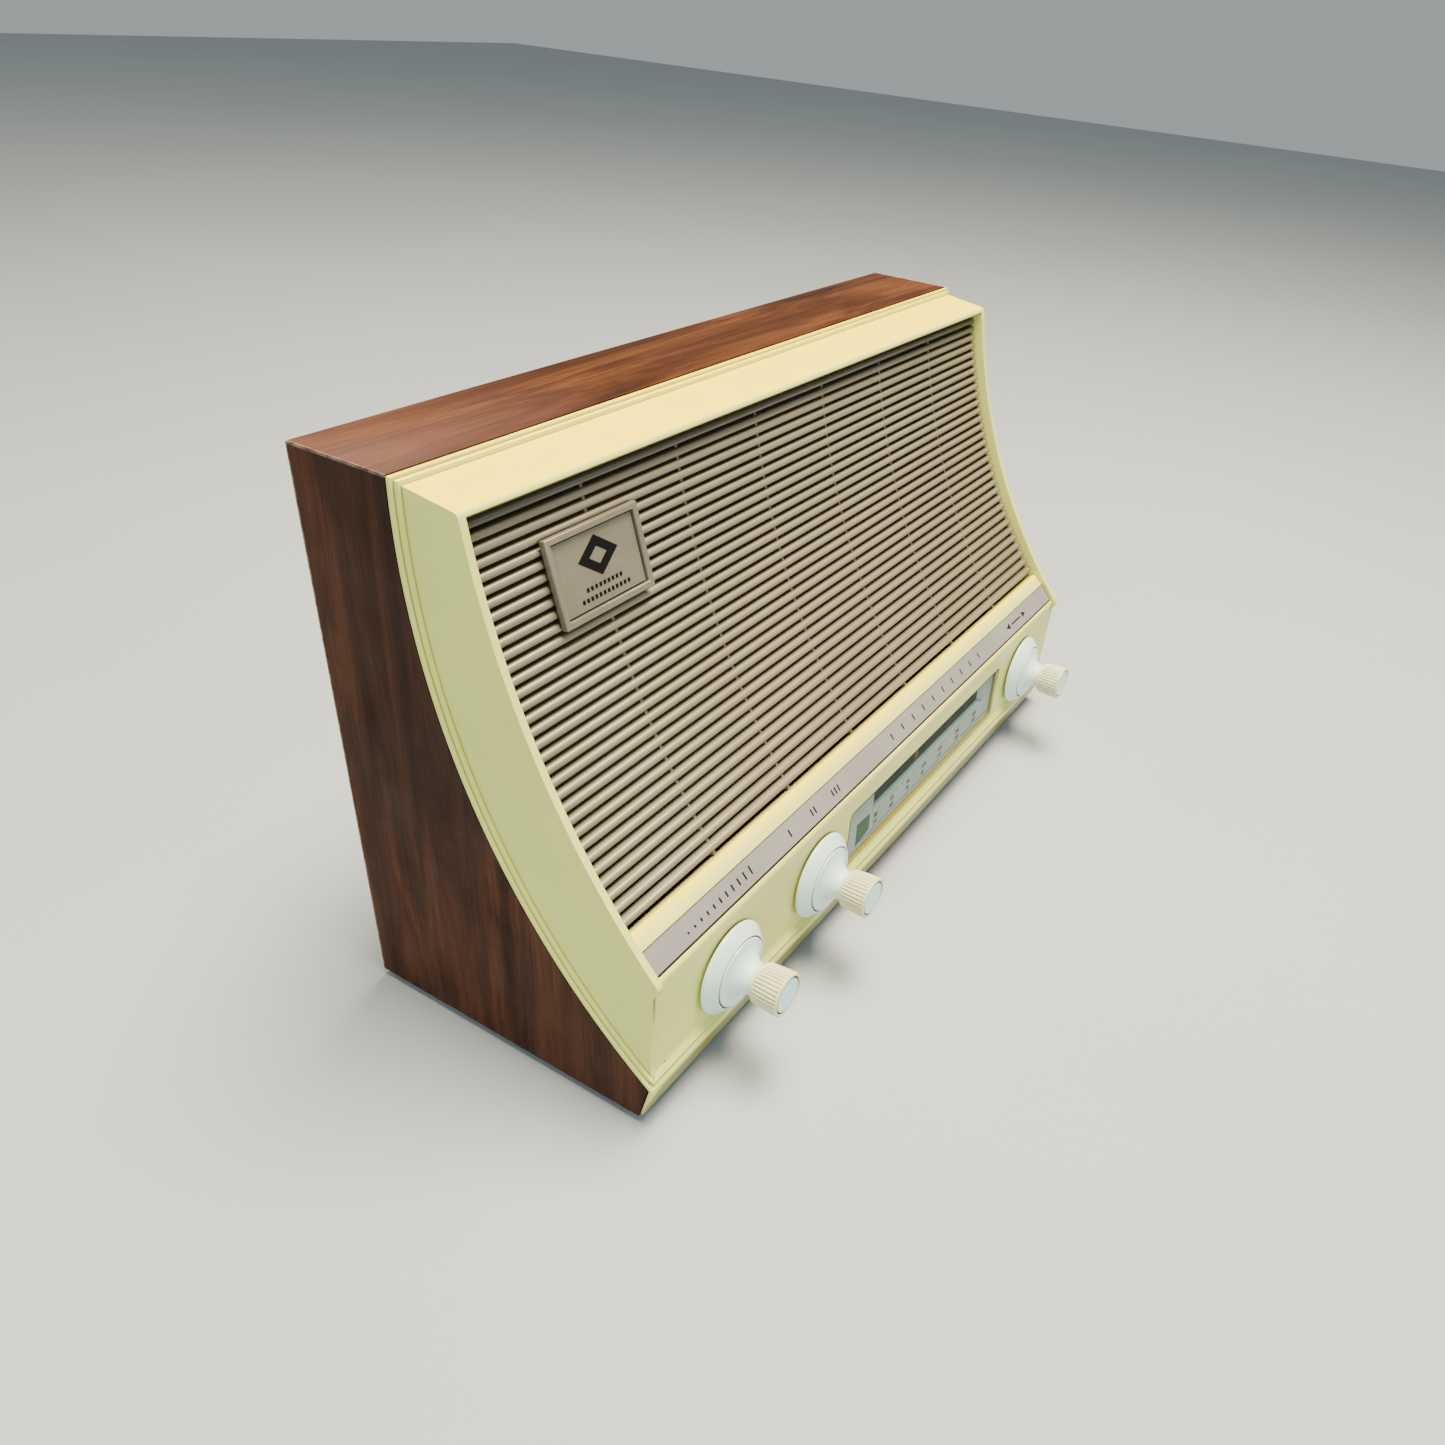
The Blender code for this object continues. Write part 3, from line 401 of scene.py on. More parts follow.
def moulded(name, colour, roughness=0.36, variation=0.12, grime=0.25, specks=0.5, painted_top_light=None,
            coat=0.0, grooves=0.0, reach=2.2, tan=None, shadow_above=None, shine=0.5):
    """Moulded plastic: mottled with age, with small specks of dirt.

    painted_top_light and tan are the colours of painted light on faces that look up and of patches,
    and with them faces that look down get painted shade; grooves is how dark narrow places are
    painted, as dirt and painted shade, and reach their width; shadow_above is a height above which
    a painted shadow darkens it.
    """
    material, tree, shader = start_material(name)
    space = coordinates(tree)
    cloud = noise(tree, space, 16.0, 4.0, 0.6)
    base = blend(tree, "MIX", ramp(tree, cloud, [(0.3, 0.0), (0.7, 1.0)]),
                 tinted(colour, 1.0 - variation), tinted(colour, 1.0 + variation * 0.5))
    if painted_top_light:                    # painted light on faces that look up, painted shade on those that look down
        patches = noise(tree, coordinates(tree, (1.0, 1.0, 1.0), (0.3, 0.1, 0.2)), 9.0, 2.0, 0.5)
        base = blend(tree, "MIX", ramp(tree, patches, [(0.40, 0.0), (0.68, 0.65)]), base, tan)
        facing = add(tree, "SeparateXYZ", {"Vector": add(tree, "NewGeometry").outputs["Normal"]})
        # painted light: faces that look up take the yellow of the light from above
        up = add(tree, "MapRange", {"Value": facing.outputs["Z"], "From Min": 0.80,
                                    "From Max": 0.96})
        base = blend(tree, "MIX", up.outputs[0], base, painted_top_light)
        # painted shade: faces that look down are painted a dark olive
        down = add(tree, "MapRange", {"Value": facing.outputs["Z"], "From Min": -0.12,
                                      "From Max": -0.27, "To Max": 0.72})
        base = blend(tree, "MIX", down.outputs[0], base, (0.13, 0.115, 0.03))
    dirt = ramp(tree, noise(tree, space, 230.0, 6.0, 0.75), [(0.60, 0.0), (0.80, grime)])
    base = blend(tree, "MIX", dirt, base, tinted(colour, 0.35))
    if grooves:
        # dirt and painted shade darken narrow places and tight corners
        shut = maths(tree, "MULTIPLY", dirt_and_shade_mask(tree, reach, 0.45, 0.78), grooves)
        base = blend(tree, "MIX", shut, base, (0.05, 0.035, 0.015))
    if shadow_above:
        # painted shadow: darker above this height, as in the shade under the hood
        place = object_place(tree)
        high = band_mask(tree, place.outputs["Z"], shadow_above, shadow_above + 7.0)
        painted_top_shadow = maths(tree, "MULTIPLY", high, 0.85)
        base = blend(tree, "MIX", painted_top_shadow, base, (0.03, 0.027, 0.02))
    spots = ramp(tree, noise(tree, space, 900.0, 2.0, 0.5), [(0.74, 0.0), (0.80, specks)])
    base = blend(tree, "MIX", spots, base, (0.10, 0.07, 0.04))
    tree.links.new(base, shader.inputs["Base Color"])
    wipe = noise(tree, coordinates(tree, (1.0, 1.0, 4.0)), 45.0, 5.0, 0.65)
    tree.links.new(ramp(tree, wipe, [(0.3, roughness - 0.07), (0.7, roughness + 0.10)]),
                   shader.inputs["Roughness"])
    shader.inputs["Coat Weight"].default_value = coat
    shader.inputs["Specular IOR Level"].default_value = shine
    bump(tree, shader, noise(tree, space, 1500.0, 3.0, 0.6), 0.12, 0.05)
    return material


def knob_plastic(name):
    """Cool white, with a grip yellowed by hands, dirt in its flutes and painted shade in its tight
    corners.
    """
    material, tree, shader = start_material(name)
    space = coordinates(tree)
    cloud = noise(tree, space, 60.0, 4.0, 0.6)
    base = blend(tree, "MIX", ramp(tree, cloud, [(0.3, 0.0), (0.7, 1.0)]), (0.55, 0.78, 0.79),
                 (0.64, 0.80, 0.75))
    front = (BACK_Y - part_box("volume_knob")[0].y) / MM
    place = object_place(tree)
    ahead = maths(tree, "SUBTRACT", BACK_Y, place.outputs["Y"])
    grip = band_mask(tree, ahead, front - 13.5, front - 9.5)
    used = maths(tree, "MULTIPLY", grip, ramp(tree, cloud, [(0.35, 0.55), (0.65, 0.95)]))
    base = blend(tree, "MIX", used, base, (0.68, 0.65, 0.35))
    streaks = noise(tree, coordinates(tree, (1.0, 0.12, 1.0)), 900.0, 4.0, 0.6)
    flutes = maths(tree, "MULTIPLY", dirt_and_shade_mask(tree, 0.55, 0.55, 0.93), 0.85)
    flutes = maths(tree, "MULTIPLY", flutes, ramp(tree, streaks, [(0.35, 0.35), (0.6, 1.0)]))
    base = blend(tree, "MIX", flutes, base, (0.10, 0.065, 0.03))
    # painted shade in the skirt's groove and the knob's other tight corners
    shut = maths(tree, "MULTIPLY", dirt_and_shade_mask(tree, 1.8, 0.35, 0.62), 0.75)
    base = blend(tree, "MIX", shut, base, (0.06, 0.05, 0.045))
    tree.links.new(base, shader.inputs["Base Color"])
    wipe = noise(tree, space, 90.0, 5.0, 0.65)
    tree.links.new(ramp(tree, wipe, [(0.3, 0.24), (0.7, 0.42)]), shader.inputs["Roughness"])
    bump(tree, shader, noise(tree, space, 1500.0, 3.0, 0.6), 0.1, 0.04)
    return material


def metal(name, colour, roughness=0.32, stretch=(1.0, 1.0, 1.0), tarnish=0.35, metallic=1.0):
    """Metal with fine brush lines or grain and dull patches."""
    material, tree, shader = start_material(name)
    brush = noise(tree, coordinates(tree, stretch), 700.0, 4.0, 0.6)
    cloud = noise(tree, coordinates(tree), 40.0, 5.0, 0.65)
    base = blend(tree, "MIX", ramp(tree, cloud, [(0.35, 0.0), (0.7, tarnish)]), colour,
                 tinted(colour, 0.45))
    base = blend(tree, "MULTIPLY", 0.25, base, ramp(tree, brush, [(0.3, 0.5), (0.7, 1.0)]))
    tree.links.new(base, shader.inputs["Base Color"])
    tree.links.new(ramp(tree, brush, [(0.3, roughness), (0.7, roughness + 0.18)]),
                   shader.inputs["Roughness"])
    shader.inputs["Metallic"].default_value = metallic
    bump(tree, shader, brush, 0.15, 0.03)
    return material


def fibre(name, colour, scale=600.0, contrast=0.4, roughness=0.85):
    """Pressed board, paper, thread or bare wood: short crossed fibres."""
    material, tree, shader = start_material(name)
    one = noise(tree, coordinates(tree, (1.0, 4.0, 4.0)), scale, 4.0, 0.7)
    two = noise(tree, coordinates(tree, (4.0, 4.0, 1.0), (3.0, 1.0, 2.0)), scale, 4.0, 0.7)
    mixed = maths(tree, "MULTIPLY", one, two)
    base = ramp(tree, mixed, [(0.15, tinted(colour, 1.0 - contrast)), (0.35, colour),
                              (0.5, tinted(colour, 1.0 + contrast))])
    cloud = noise(tree, coordinates(tree), 20.0, 3.0)
    base = blend(tree, "MULTIPLY", 0.4, base, ramp(tree, cloud, [(0.3, 0.6), (0.7, 1.0)]))
    tree.links.new(base, shader.inputs["Base Color"])
    tree.links.new(ramp(tree, one, [(0.3, roughness - 0.1), (0.7, min(1.0, roughness + 0.1))]),
                   shader.inputs["Roughness"])
    bump(tree, shader, mixed, 0.35, 0.1)
    return material


def clear_plastic(name):
    """A thin clear sheet: almost nothing of its own colour, with faint scuffs in its gloss."""
    material, tree, shader = start_material(name)
    scuffs = noise(tree, coordinates(tree, (1.0, 1.0, 5.0)), 260.0, 5.0, 0.7)
    tree.links.new(ramp(tree, scuffs, [(0.45, 0.05), (0.75, 0.25)]), shader.inputs["Roughness"])
    haze = ramp(tree, noise(tree, coordinates(tree), 60.0, 3.0),
                [(0.3, (0.55, 0.70, 0.62)), (0.7, (0.70, 0.80, 0.74))])
    tree.links.new(haze, shader.inputs["Base Color"])
    shader.inputs["Alpha"].default_value = 0.04
    bump(tree, shader, scuffs, 0.03, 0.02)
    return material


WALNUT_SIDE = walnut("walnut_side", "z", (0.013, 0.006, 0.004), (0.047, 0.018, 0.009),
                     (0.095, 0.035, 0.016), 3.1, 0.55, 0.08, 0.10)
WALNUT_TOP = walnut("walnut_top", "x", (0.020, 0.007, 0.003), (0.056, 0.019, 0.007),
                    (0.108, 0.040, 0.014), 7.4, 0.45, 0.08, 0.5)
BEZEL = moulded("aged_cream", (0.66, 0.73, 0.19), 0.34, 0.07, 0.12, 0.35, (1.0, 0.80, 0.0),
                coat=0.05, grooves=0.8, reach=1.1, tan=(0.60, 0.56, 0.17), shine=0.3)
SLAT = moulded("taupe_slats", (0.195, 0.172, 0.112), 0.42, 0.12, 0.5, 0.6, coat=0.15, grooves=0.9,
               reach=2.6, shadow_above=187.0)
KNOB = knob_plastic("knob_white")
KNOB_CAP = moulded("knob_disc", (0.56, 0.92, 1.0), 0.25, 0.10, 0.30, 0.2, coat=0.3,
                   grooves=0.85)
BADGE = metal("badge_metal", (0.26, 0.235, 0.18), 0.34, tarnish=0.3, metallic=0.6)
BADGE_FACE = metal("badge_face", (0.22, 0.20, 0.15), 0.42, tarnish=0.45, metallic=0.4)
EMBLEM = moulded("emblem_black", (0.006, 0.006, 0.007), 0.75, 0.2, 0.2, 0.1, shine=0.05)
FOIL = metal("label_foil", (0.275, 0.285, 0.28), 0.45, (4.0, 1.0, 1.0), 0.25, 0.2)
PRINT = moulded("dark_print", (0.015, 0.014, 0.015), 0.75, 0.2, 0.2, 0.1, shine=0.1)
LENS = clear_plastic("dial_lens")
DIAL = moulded("dial_print", (0.44, 0.68, 0.63), 0.5, 0.16, 0.15, 0.2, grooves=0.6)
GREEN = moulded("dial_green", (0.004, 0.07, 0.022), 0.6, 0.35, 0.3, 0.1, shine=0.1)
RED = moulded("pointer_red", (0.40, 0.03, 0.015), 0.5, 0.15, 0.2, 0.1)
HARDBOARD = fibre("hardboard", (0.17, 0.095, 0.05))
SOFTWOOD = fibre("softwood", (0.42, 0.27, 0.14), 300.0, 0.25)
PAPER = fibre("black_paper", (0.02, 0.02, 0.02), 800.0, 0.3)
THREAD = fibre("waxed_thread", (0.45, 0.40, 0.28), 900.0, 0.3)
RUBBER = moulded("black_rubber", (0.02, 0.02, 0.02), 0.75, 0.3, 0.3, 0.1)
STEEL = metal("plated_steel", (0.50, 0.49, 0.46), 0.35, tarnish=0.5)
DARK_STEEL = metal("dark_chassis", (0.05, 0.05, 0.05), 0.55, tarnish=0.5, metallic=0.3)
ALUMINIUM = metal("bare_aluminium", (0.62, 0.62, 0.62), 0.32)
BRASS = metal("bare_brass", (0.60, 0.42, 0.17), 0.32)
COPPER = metal("enamelled_copper", (0.42, 0.15, 0.06), 0.35, (1.0, 9.0, 1.0))
PHENOLIC = fibre("brown_phenolic", (0.22, 0.11, 0.045), 900.0, 0.15, 0.5)
FERRITE = moulded("dark_ferrite", (0.035, 0.035, 0.038), 0.6, 0.2, 0.3, 0.3)
SLEEVE = moulded("black_sleeve", (0.025, 0.025, 0.03), 0.35, 0.2, 0.2, 0.1)


# ---------------------------------------------------------------- carried-over solids

def dress():
    """Materials for the solids that stay, and rounded edges on the wooden boards."""
    finishes = {
        WALNUT_SIDE: "cabinet_side_left cabinet_side_right",
        WALNUT_TOP: "cabinet_top cabinet_bottom",
        SOFTWOOD: "corner_block_top_left corner_block_top_right",
        HARDBOARD: "back_cover baffle_board",
        STEEL: "back_screw_1 back_screw_2 back_screw_3 back_screw_4 capacitor_frame speaker_basket",
        DARK_STEEL: "front_chassis transformer_core speaker_magnet",
        RUBBER: "foot_front_left foot_front_right foot_rear_left foot_rear_right",
        BADGE_FACE: "badge_plate", FOIL: "label_strip", LENS: "dial_window", DIAL: "dial_scale",
        RED: "dial_pointer",
        BRASS: "volume_shaft band_shaft tuning_shaft tuning_bushing pulley_left pulley_right "
               "capacitor_stator",
        ALUMINIUM: "volume_control if_can_1 if_can_2 dial_drum capacitor_rotor",
        PHENOLIC: "band_switch circuit_board rod_clip_1 rod_clip_2 aerial_terminals",
        THREAD: "dial_cord", SLEEVE: "filter_capacitor", COPPER: "transformer_coil aerial_coil",
        PAPER: "speaker_cone", FERRITE: "ferrite_rod",
        KNOB_CAP: "volume_knob_cap band_knob_cap tuning_knob_cap",
    }
    for material, names in finishes.items():
        for name in names.split():
            mesh = NODES[name].data
            mesh.materials.clear()
            mesh.materials.append(material)
    widths = {"cabinet_side_left": 0.7, "cabinet_side_right": 0.7, "cabinet_top": 0.5,
              "cabinet_bottom": 0.5, "back_cover": 0.3, "aerial_terminals": 0.3}
    for name, width in widths.items():
        bevel = NODES[name].modifiers.new("round", "BEVEL")
        bevel.width = width * MM
        bevel.segments = 2
        bevel.limit_method = "ANGLE"
        bevel.angle_limit = math.radians(50)


# ---------------------------------------------------------------- moulded front

def strip_outline(front_offset, back_offset, top, foot_front, foot_back):
    """A thin layer that follows the wood's front arc, then turns down over its tip."""
    front = arc_points(WOOD_ARC, top, LIP[1] + 1.2, FINE_ARC, front_offset)
    back = arc_points(WOOD_ARC, top, 18.0, FINE_ARC, back_offset)
    return front + [LIP, foot_front, foot_back] + back[::-1]


def front_moulding():
    """Flange, step, bands, hood, ledge, nose, panel, cove and lip, joined into one moulding."""
    flange = strip_outline(-FLANGE - GAP, -GAP, TOP_Z - 0.1, LIP_FOOT, (120.2, 4.9))
    mesh = prism_mesh("front_moulding", flange, -HALF_WIDTH, HALF_WIDTH)
    front = piece("front_moulding", bevelled(mesh, 0.35, 2, 50.0), BEZEL)
    fore, aft = [arc_points(WOOD_ARC, TOP_Z - STEP_INSET, 21.0, FINE_ARC, offset)
                 for offset in (-FLANGE - GAP - STEP, -FLANGE / 2 - GAP)]
    step_half = HALF_WIDTH - STEP_INSET
    step = bevelled(prism_mesh("step", fore + aft[::-1], -step_half, step_half), 0.3, 2, 50.0)
    hollow_half = BAND_X - WALL - 4.0
    hollow_line = [(0.0, HOLLOW_Z), (140.0, HOLLOW_Z), (140.0, GRILLE_TOP_Z), (0.0, GRILLE_TOP_Z)]
    hollow = prism_mesh("hollow", hollow_line, -hollow_half, hollow_half)
    rim = arc_points(RIM_ARC, HOOD_LINE[-1][1] - 0.8, NOSE_LINE[0][1] + 1.0, FINE_ARC)
    back = arc_points(WOOD_ARC, HOOD_TOP, 19.5, FINE_ARC, -FLANGE / 2 - GAP)
    band_line = HOOD_LINE + rim + NOSE_LINE + COVE_LINE + back[::-1]
    bands = [bevelled(prism_mesh("band", band_line, -BAND_X, -BAND_X + WALL), 1.1, 4, 60.0),
             bevelled(prism_mesh("band", band_line, BAND_X - WALL, BAND_X), 1.1, 4, 60.0)]
    hood_line = HOOD_LINE + [(61.4, 197.4), (60.2, 197.1), (39.6, HOOD_TOP - WALL)]
    across = BAND_X - WALL / 2
    hood = prism_mesh("hood", hood_line, -across, across)
    lower_line = [(111.5, 74.8), (111.7, 75.0), (112.0, 75.0), (116.6, 71.4), (116.9, 71.0),
                  SEAT_TOP, SEAT_FOOT, (123.3, 63.6), (123.55, 63.5), (123.95, 63.1),
                  (124.25, 62.6), (124.4, 62.0), (124.4, 61.0), NOSE_LINE[-1], PANEL_FOOT,
                  (122.9, HOLLOW_Z), (PANEL_BACK_D, HOLLOW_Z), (PANEL_BACK_D, 57.4), (120.4, 61.0),
                  (113.2, 69.1), (108.6, 72.9)]
    lower = prism_mesh("lower", lower_line, -across, across)
    cove_line = COVE_LINE + [LIP, (LIP[0] - 0.6, 15.6), (PANEL_BACK_D + 0.4, 15.6),
                             (PANEL_BACK_D + 0.4, PANEL_FOOT[1])]
    inner = HALF_WIDTH - BOARD - 2 * GAP
    cove = prism_mesh("cove", cove_line, -inner, inner)
    opening = front_plate("opening", rounded(*WINDOW, 2.0), 116.0, 128.0)
    stages = [("step", step, "UNION"), ("hollow", hollow, "DIFFERENCE"),
              ("band_left", bands[0], "UNION"), ("band_right", bands[1], "UNION"),
              ("hood", hood, "UNION"), ("lower", lower, "UNION"), ("cove", cove, "UNION"),
              ("opening", opening, "DIFFERENCE")]
    for index, node in enumerate(("volume_knob", "band_knob", "tuning_knob")):
        low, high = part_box(node)
        centre = ((low.x + high.x) / 2 / MM, 116.0, (low.z + high.z) / 2 / MM)
        bore = [(0.0, 0.0), (SHAFT_HOLE_R, 0.0), (SHAFT_HOLE_R, 12.0), (0.0, 12.0)]
        hole = turned_mesh(f"hole_{index}", bore, centre, 32)
        stages.append((f"hole_{index}", hole, "DIFFERENCE"))
    for name, other, operation in stages:
        modifier = front.modifiers.new(name, "BOOLEAN")
        modifier.operation = operation
        modifier.solver = "MANIFOLD"
        modifier.object = helper(name, other)
    settle(front)
    smooth(front.data, 40.0)
    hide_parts("front_bezel")


def settle(obj):
    """Keep what the modifiers make as the mesh, and drop the helpers."""
    others = [m.object for m in obj.modifiers]
    bpy.context.view_layer.update()
    depsgraph = bpy.context.evaluated_depsgraph_get()
    mesh = bpy.data.meshes.new_from_object(obj.evaluated_get(depsgraph))
    materials = list(obj.data.materials)
    obj.modifiers.clear()
    obj.data = mesh
    mesh.materials.clear()
    for material in materials:
        mesh.materials.append(material)
    for other in others:
        bpy.data.objects.remove(other, do_unlink=True)


def slat_section(z):
    """A level slat, round in front, with its nose on the arc and its middle at z."""
    centre_d, centre_z, radius = RIM_ARC
    front = centre_d - math.sqrt((radius + GRILLE_RECESS) ** 2 - (centre_z - z) ** 2)
    half = SLAT_H / 2
    nose = []
    for i in range(17):         # a half turn
        angle = math.radians(90 - 11.25 * i)
        nose.append((front - SLAT_NOSE * (1 - math.cos(angle)), z + half * math.sin(angle)))
    return nose + [(front - SLAT_DEPTH, z - half), (front - SLAT_DEPTH, z + half)]


def grille():
    """Level slats with softened ends, in front of upright ribs that show in the gaps."""
    centre_d, centre_z, radius = RIM_ARC
    front_r = radius + GRILLE_RECESS
    middles = [GRILLE_TOP_Z - SLAT_PITCH * (i + 0.5) for i in range(SLATS)]
    bm = bmesh.new()
    for z in middles:
        section = slat_section(z)
        rows = []
        for x, pull in ((-SLAT_END, SLAT_SOFT), (-SLAT_END + SLAT_SOFT, 0.0),
                        (SLAT_END - SLAT_SOFT, 0.0), (SLAT_END, SLAT_SOFT)):
            nearest = max(d for d, up in section) - pull
            rows.append([bm.verts.new(spot(x, min(d, nearest), z + (up - z) * (1 - 0.4 * pull)))
                         for d, up in section])
        for first, second in zip(rows, rows[1:]):
            wall(bm, first, second)
        bm.faces.new(rows[0][::-1])
        bm.faces.new(rows[-1])
    ends = (middles[0] + SLAT_H / 2, middles[-1] - SLAT_H / 2)
    first, last = [math.asin((centre_z - z) / front_r) for z in ends]
    for index in range(INNER_RIBS + 2):
        middle = -GRILLE_HALF + 2.0 + index * (2 * GRILLE_HALF - 4.0) / (INNER_RIBS + 1)
        rib = []
        for reach, angles in ((front_r + RIB_DEPTH, (first, last)),
                              (front_r + SLAT_DEPTH + 1.4, (last, first))):
            for i in range(RIB_STEPS + 1):
                angle = angles[0] + (angles[1] - angles[0]) * i / RIB_STEPS
                rib.append((centre_d - reach * math.cos(angle), centre_z - reach * math.sin(angle)))
        mesh = prism_mesh("rib", rib, middle - RIB_HALF, middle + RIB_HALF)
        bm.from_mesh(mesh)
        bpy.data.meshes.remove(mesh)
    mesh = finished("grille_slats", bm)
    smooth(mesh, 50.0)
    slats = piece("grille_slats", mesh, SLAT)
    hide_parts("grille_panel")


def badge():
    """A frame with round edges about the plate, and a plain geometric mark on the plate."""
    low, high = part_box("badge_frame")
    centre = (low + high) / 2
    centre_d, centre_z = RIM_ARC[:2]
    angle = math.atan2(centre_z - centre.z / MM, centre_d - (BACK_Y - centre.y) / MM)
    tilt = Matrix.Translation(centre) @ Matrix.Rotation(-angle, 4, "X")

    def slab(name, outline, back, front, hole=None):
        """A flat piece in the badge's own plane: x, y up and z outward, in millimetres."""
        bm = bmesh.new()
        loops = [outline] + ([hole] if hole else [])
        rings = []
        for loop in loops:
            rings.append([[bm.verts.new((x * MM, -out * MM, y * MM)) for x, y in loop]
                          for out in (back, front)])
        for ring in rings:
            wall(bm, *ring)
        for side in (0, 1):
            if hole:
                wall(bm, rings[0][side], rings[1][side])
            else:
                bm.faces.new(rings[0][side])
        return finished(name, bm)

    outer = bar(0.0, 0.0, *BADGE_SIZE)
    inner = bar(0.0, 0.0, *[side - 2 * FRAME_RIM for side in BADGE_SIZE])
    mesh = slab("badge_surround", outer, -FRAME_HALF, FRAME_HALF, inner)
    mesh = bevelled(mesh, 0.45, 3, 50.0)
    smooth(mesh)
    surround = piece("badge_surround", mesh, BADGE, matrix=tilt)
    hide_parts("badge_frame")
    plate = NODES["badge_plate"]
    turn = plate.matrix_world.to_3x3()
    outward = Vector((0.0, -1.0, 0.0))
    face = max(plate.data.polygons,
               key=lambda polygon: (turn @ polygon.normal).dot(outward) * polygon.area)
    normal = (turn @ face.normal).normalized()
    on_face = plate.matrix_world @ face.center
    middle = centre + normal * (on_face - centre).dot(normal)
    on_plate = outward.rotation_difference(normal).to_matrix().to_4x4()
    on_plate = Matrix.Translation(middle) @ on_plate
    lozenge = [(0.0, 9.6), (9.0, 3.2), (0.0, -3.2), (-9.0, 3.2)]
    window = [(0.0, 6.0), (4.0, 3.2), (0.0, 0.4), (-4.0, 3.2)]
    sunk, proud = -0.1, 0.08
    shapes = [slab("mark", lozenge, sunk, proud, window)]
    for row, count in ((-5.6, 9), (-8.6, 12)):
        for i in range(count):
            block = bar((i - (count - 1) / 2) * 1.9, row, 1.1, 1.3)
            shapes.append(slab("mark", block, sunk, proud))
    piece("badge_mark", joined("badge_mark", shapes), EMBLEM, matrix=on_plate)


# ---------------------------------------------------------------- label strip and dial

def flat_marks(name, shapes, origin, across, up, outward, material):
    """Thin printed shapes, each an outline in the plane of across and up, in millimetres."""
    bm = bmesh.new()
    for shape in shapes:
        back, front = [[bm.verts.new(origin + (across * a + up * b + outward * level) * MM)
                        for a, b in shape] for level in (0.0, PRINT_T)]
        closed(bm, front, back)
    return piece(name, finished(name, bm), material)


def legends():
    """Plain ticks on the foil strip where a set carries its control legends."""
    low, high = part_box("label_strip")
    across = Vector((1.0, 0.0, 0.0))
    slope = math.atan2(SEAT_TOP[1] - SEAT_FOOT[1], SEAT_FOOT[0] - SEAT_TOP[0])
    up = Vector((0.0, math.cos(slope), math.sin(slope)))
    outward = Vector((0.0, -math.sin(slope), math.cos(slope)))
    origin = (low + high) / 2 + outward * 0.27 * MM
    half_width = (high.z - low.z) / 2 / MM / math.sin(slope)
    # painted shadow: a dark line along the strip's lower edge, where it meets its seat
    shapes = [bar(0.0, 0.45 - half_width, 2 * (high.x / MM - 0.4), 0.5)]
    for i in range(11):         # a rising row of ticks over the volume knob
        height = 0.8 + 0.24 * i
        shapes.append(bar(-145.0 + 3.6 * i, -1.2 + height / 2, TICK[0], height))
    for i in range(3):          # one group for each place of the band knob
        shapes += [bar(-84.0 + 15.0 * i + 2.2 * k, 0.2, *TICK) for k in range(i + 1)]
    for i in range(10):         # evenly spaced ticks along the middle
        shapes.append(bar(-6.0 + 9.5 * i, 0.3, *TICK))
    shapes += [[(113.0, 0.2), (117.0, 1.7), (117.0, -1.3)], bar(124.5, 0.2, 11.0, 0.7),
               [(136.0, 0.2), (132.0, -1.3), (132.0, 1.7)]]
    flat_marks("legend_ticks", shapes, origin, across, up, outward, PRINT)


def text_mesh(name, words, size):
    curve = bpy.data.curves.new(name, "FONT")
    curve.body = words
    curve.size = size * MM
    curve.align_x = "CENTER"
    curve.align_y = "CENTER"
    curve.extrude = 0.02 * MM
    curve.offset = 0.07 * MM
    curve.resolution_u = 3
    holder = bpy.data.objects.new(name, curve)
    mesh = bpy.data.meshes.new_from_object(holder)
    bpy.data.objects.remove(holder, do_unlink=True)
    bpy.data.curves.remove(curve)
    return mesh


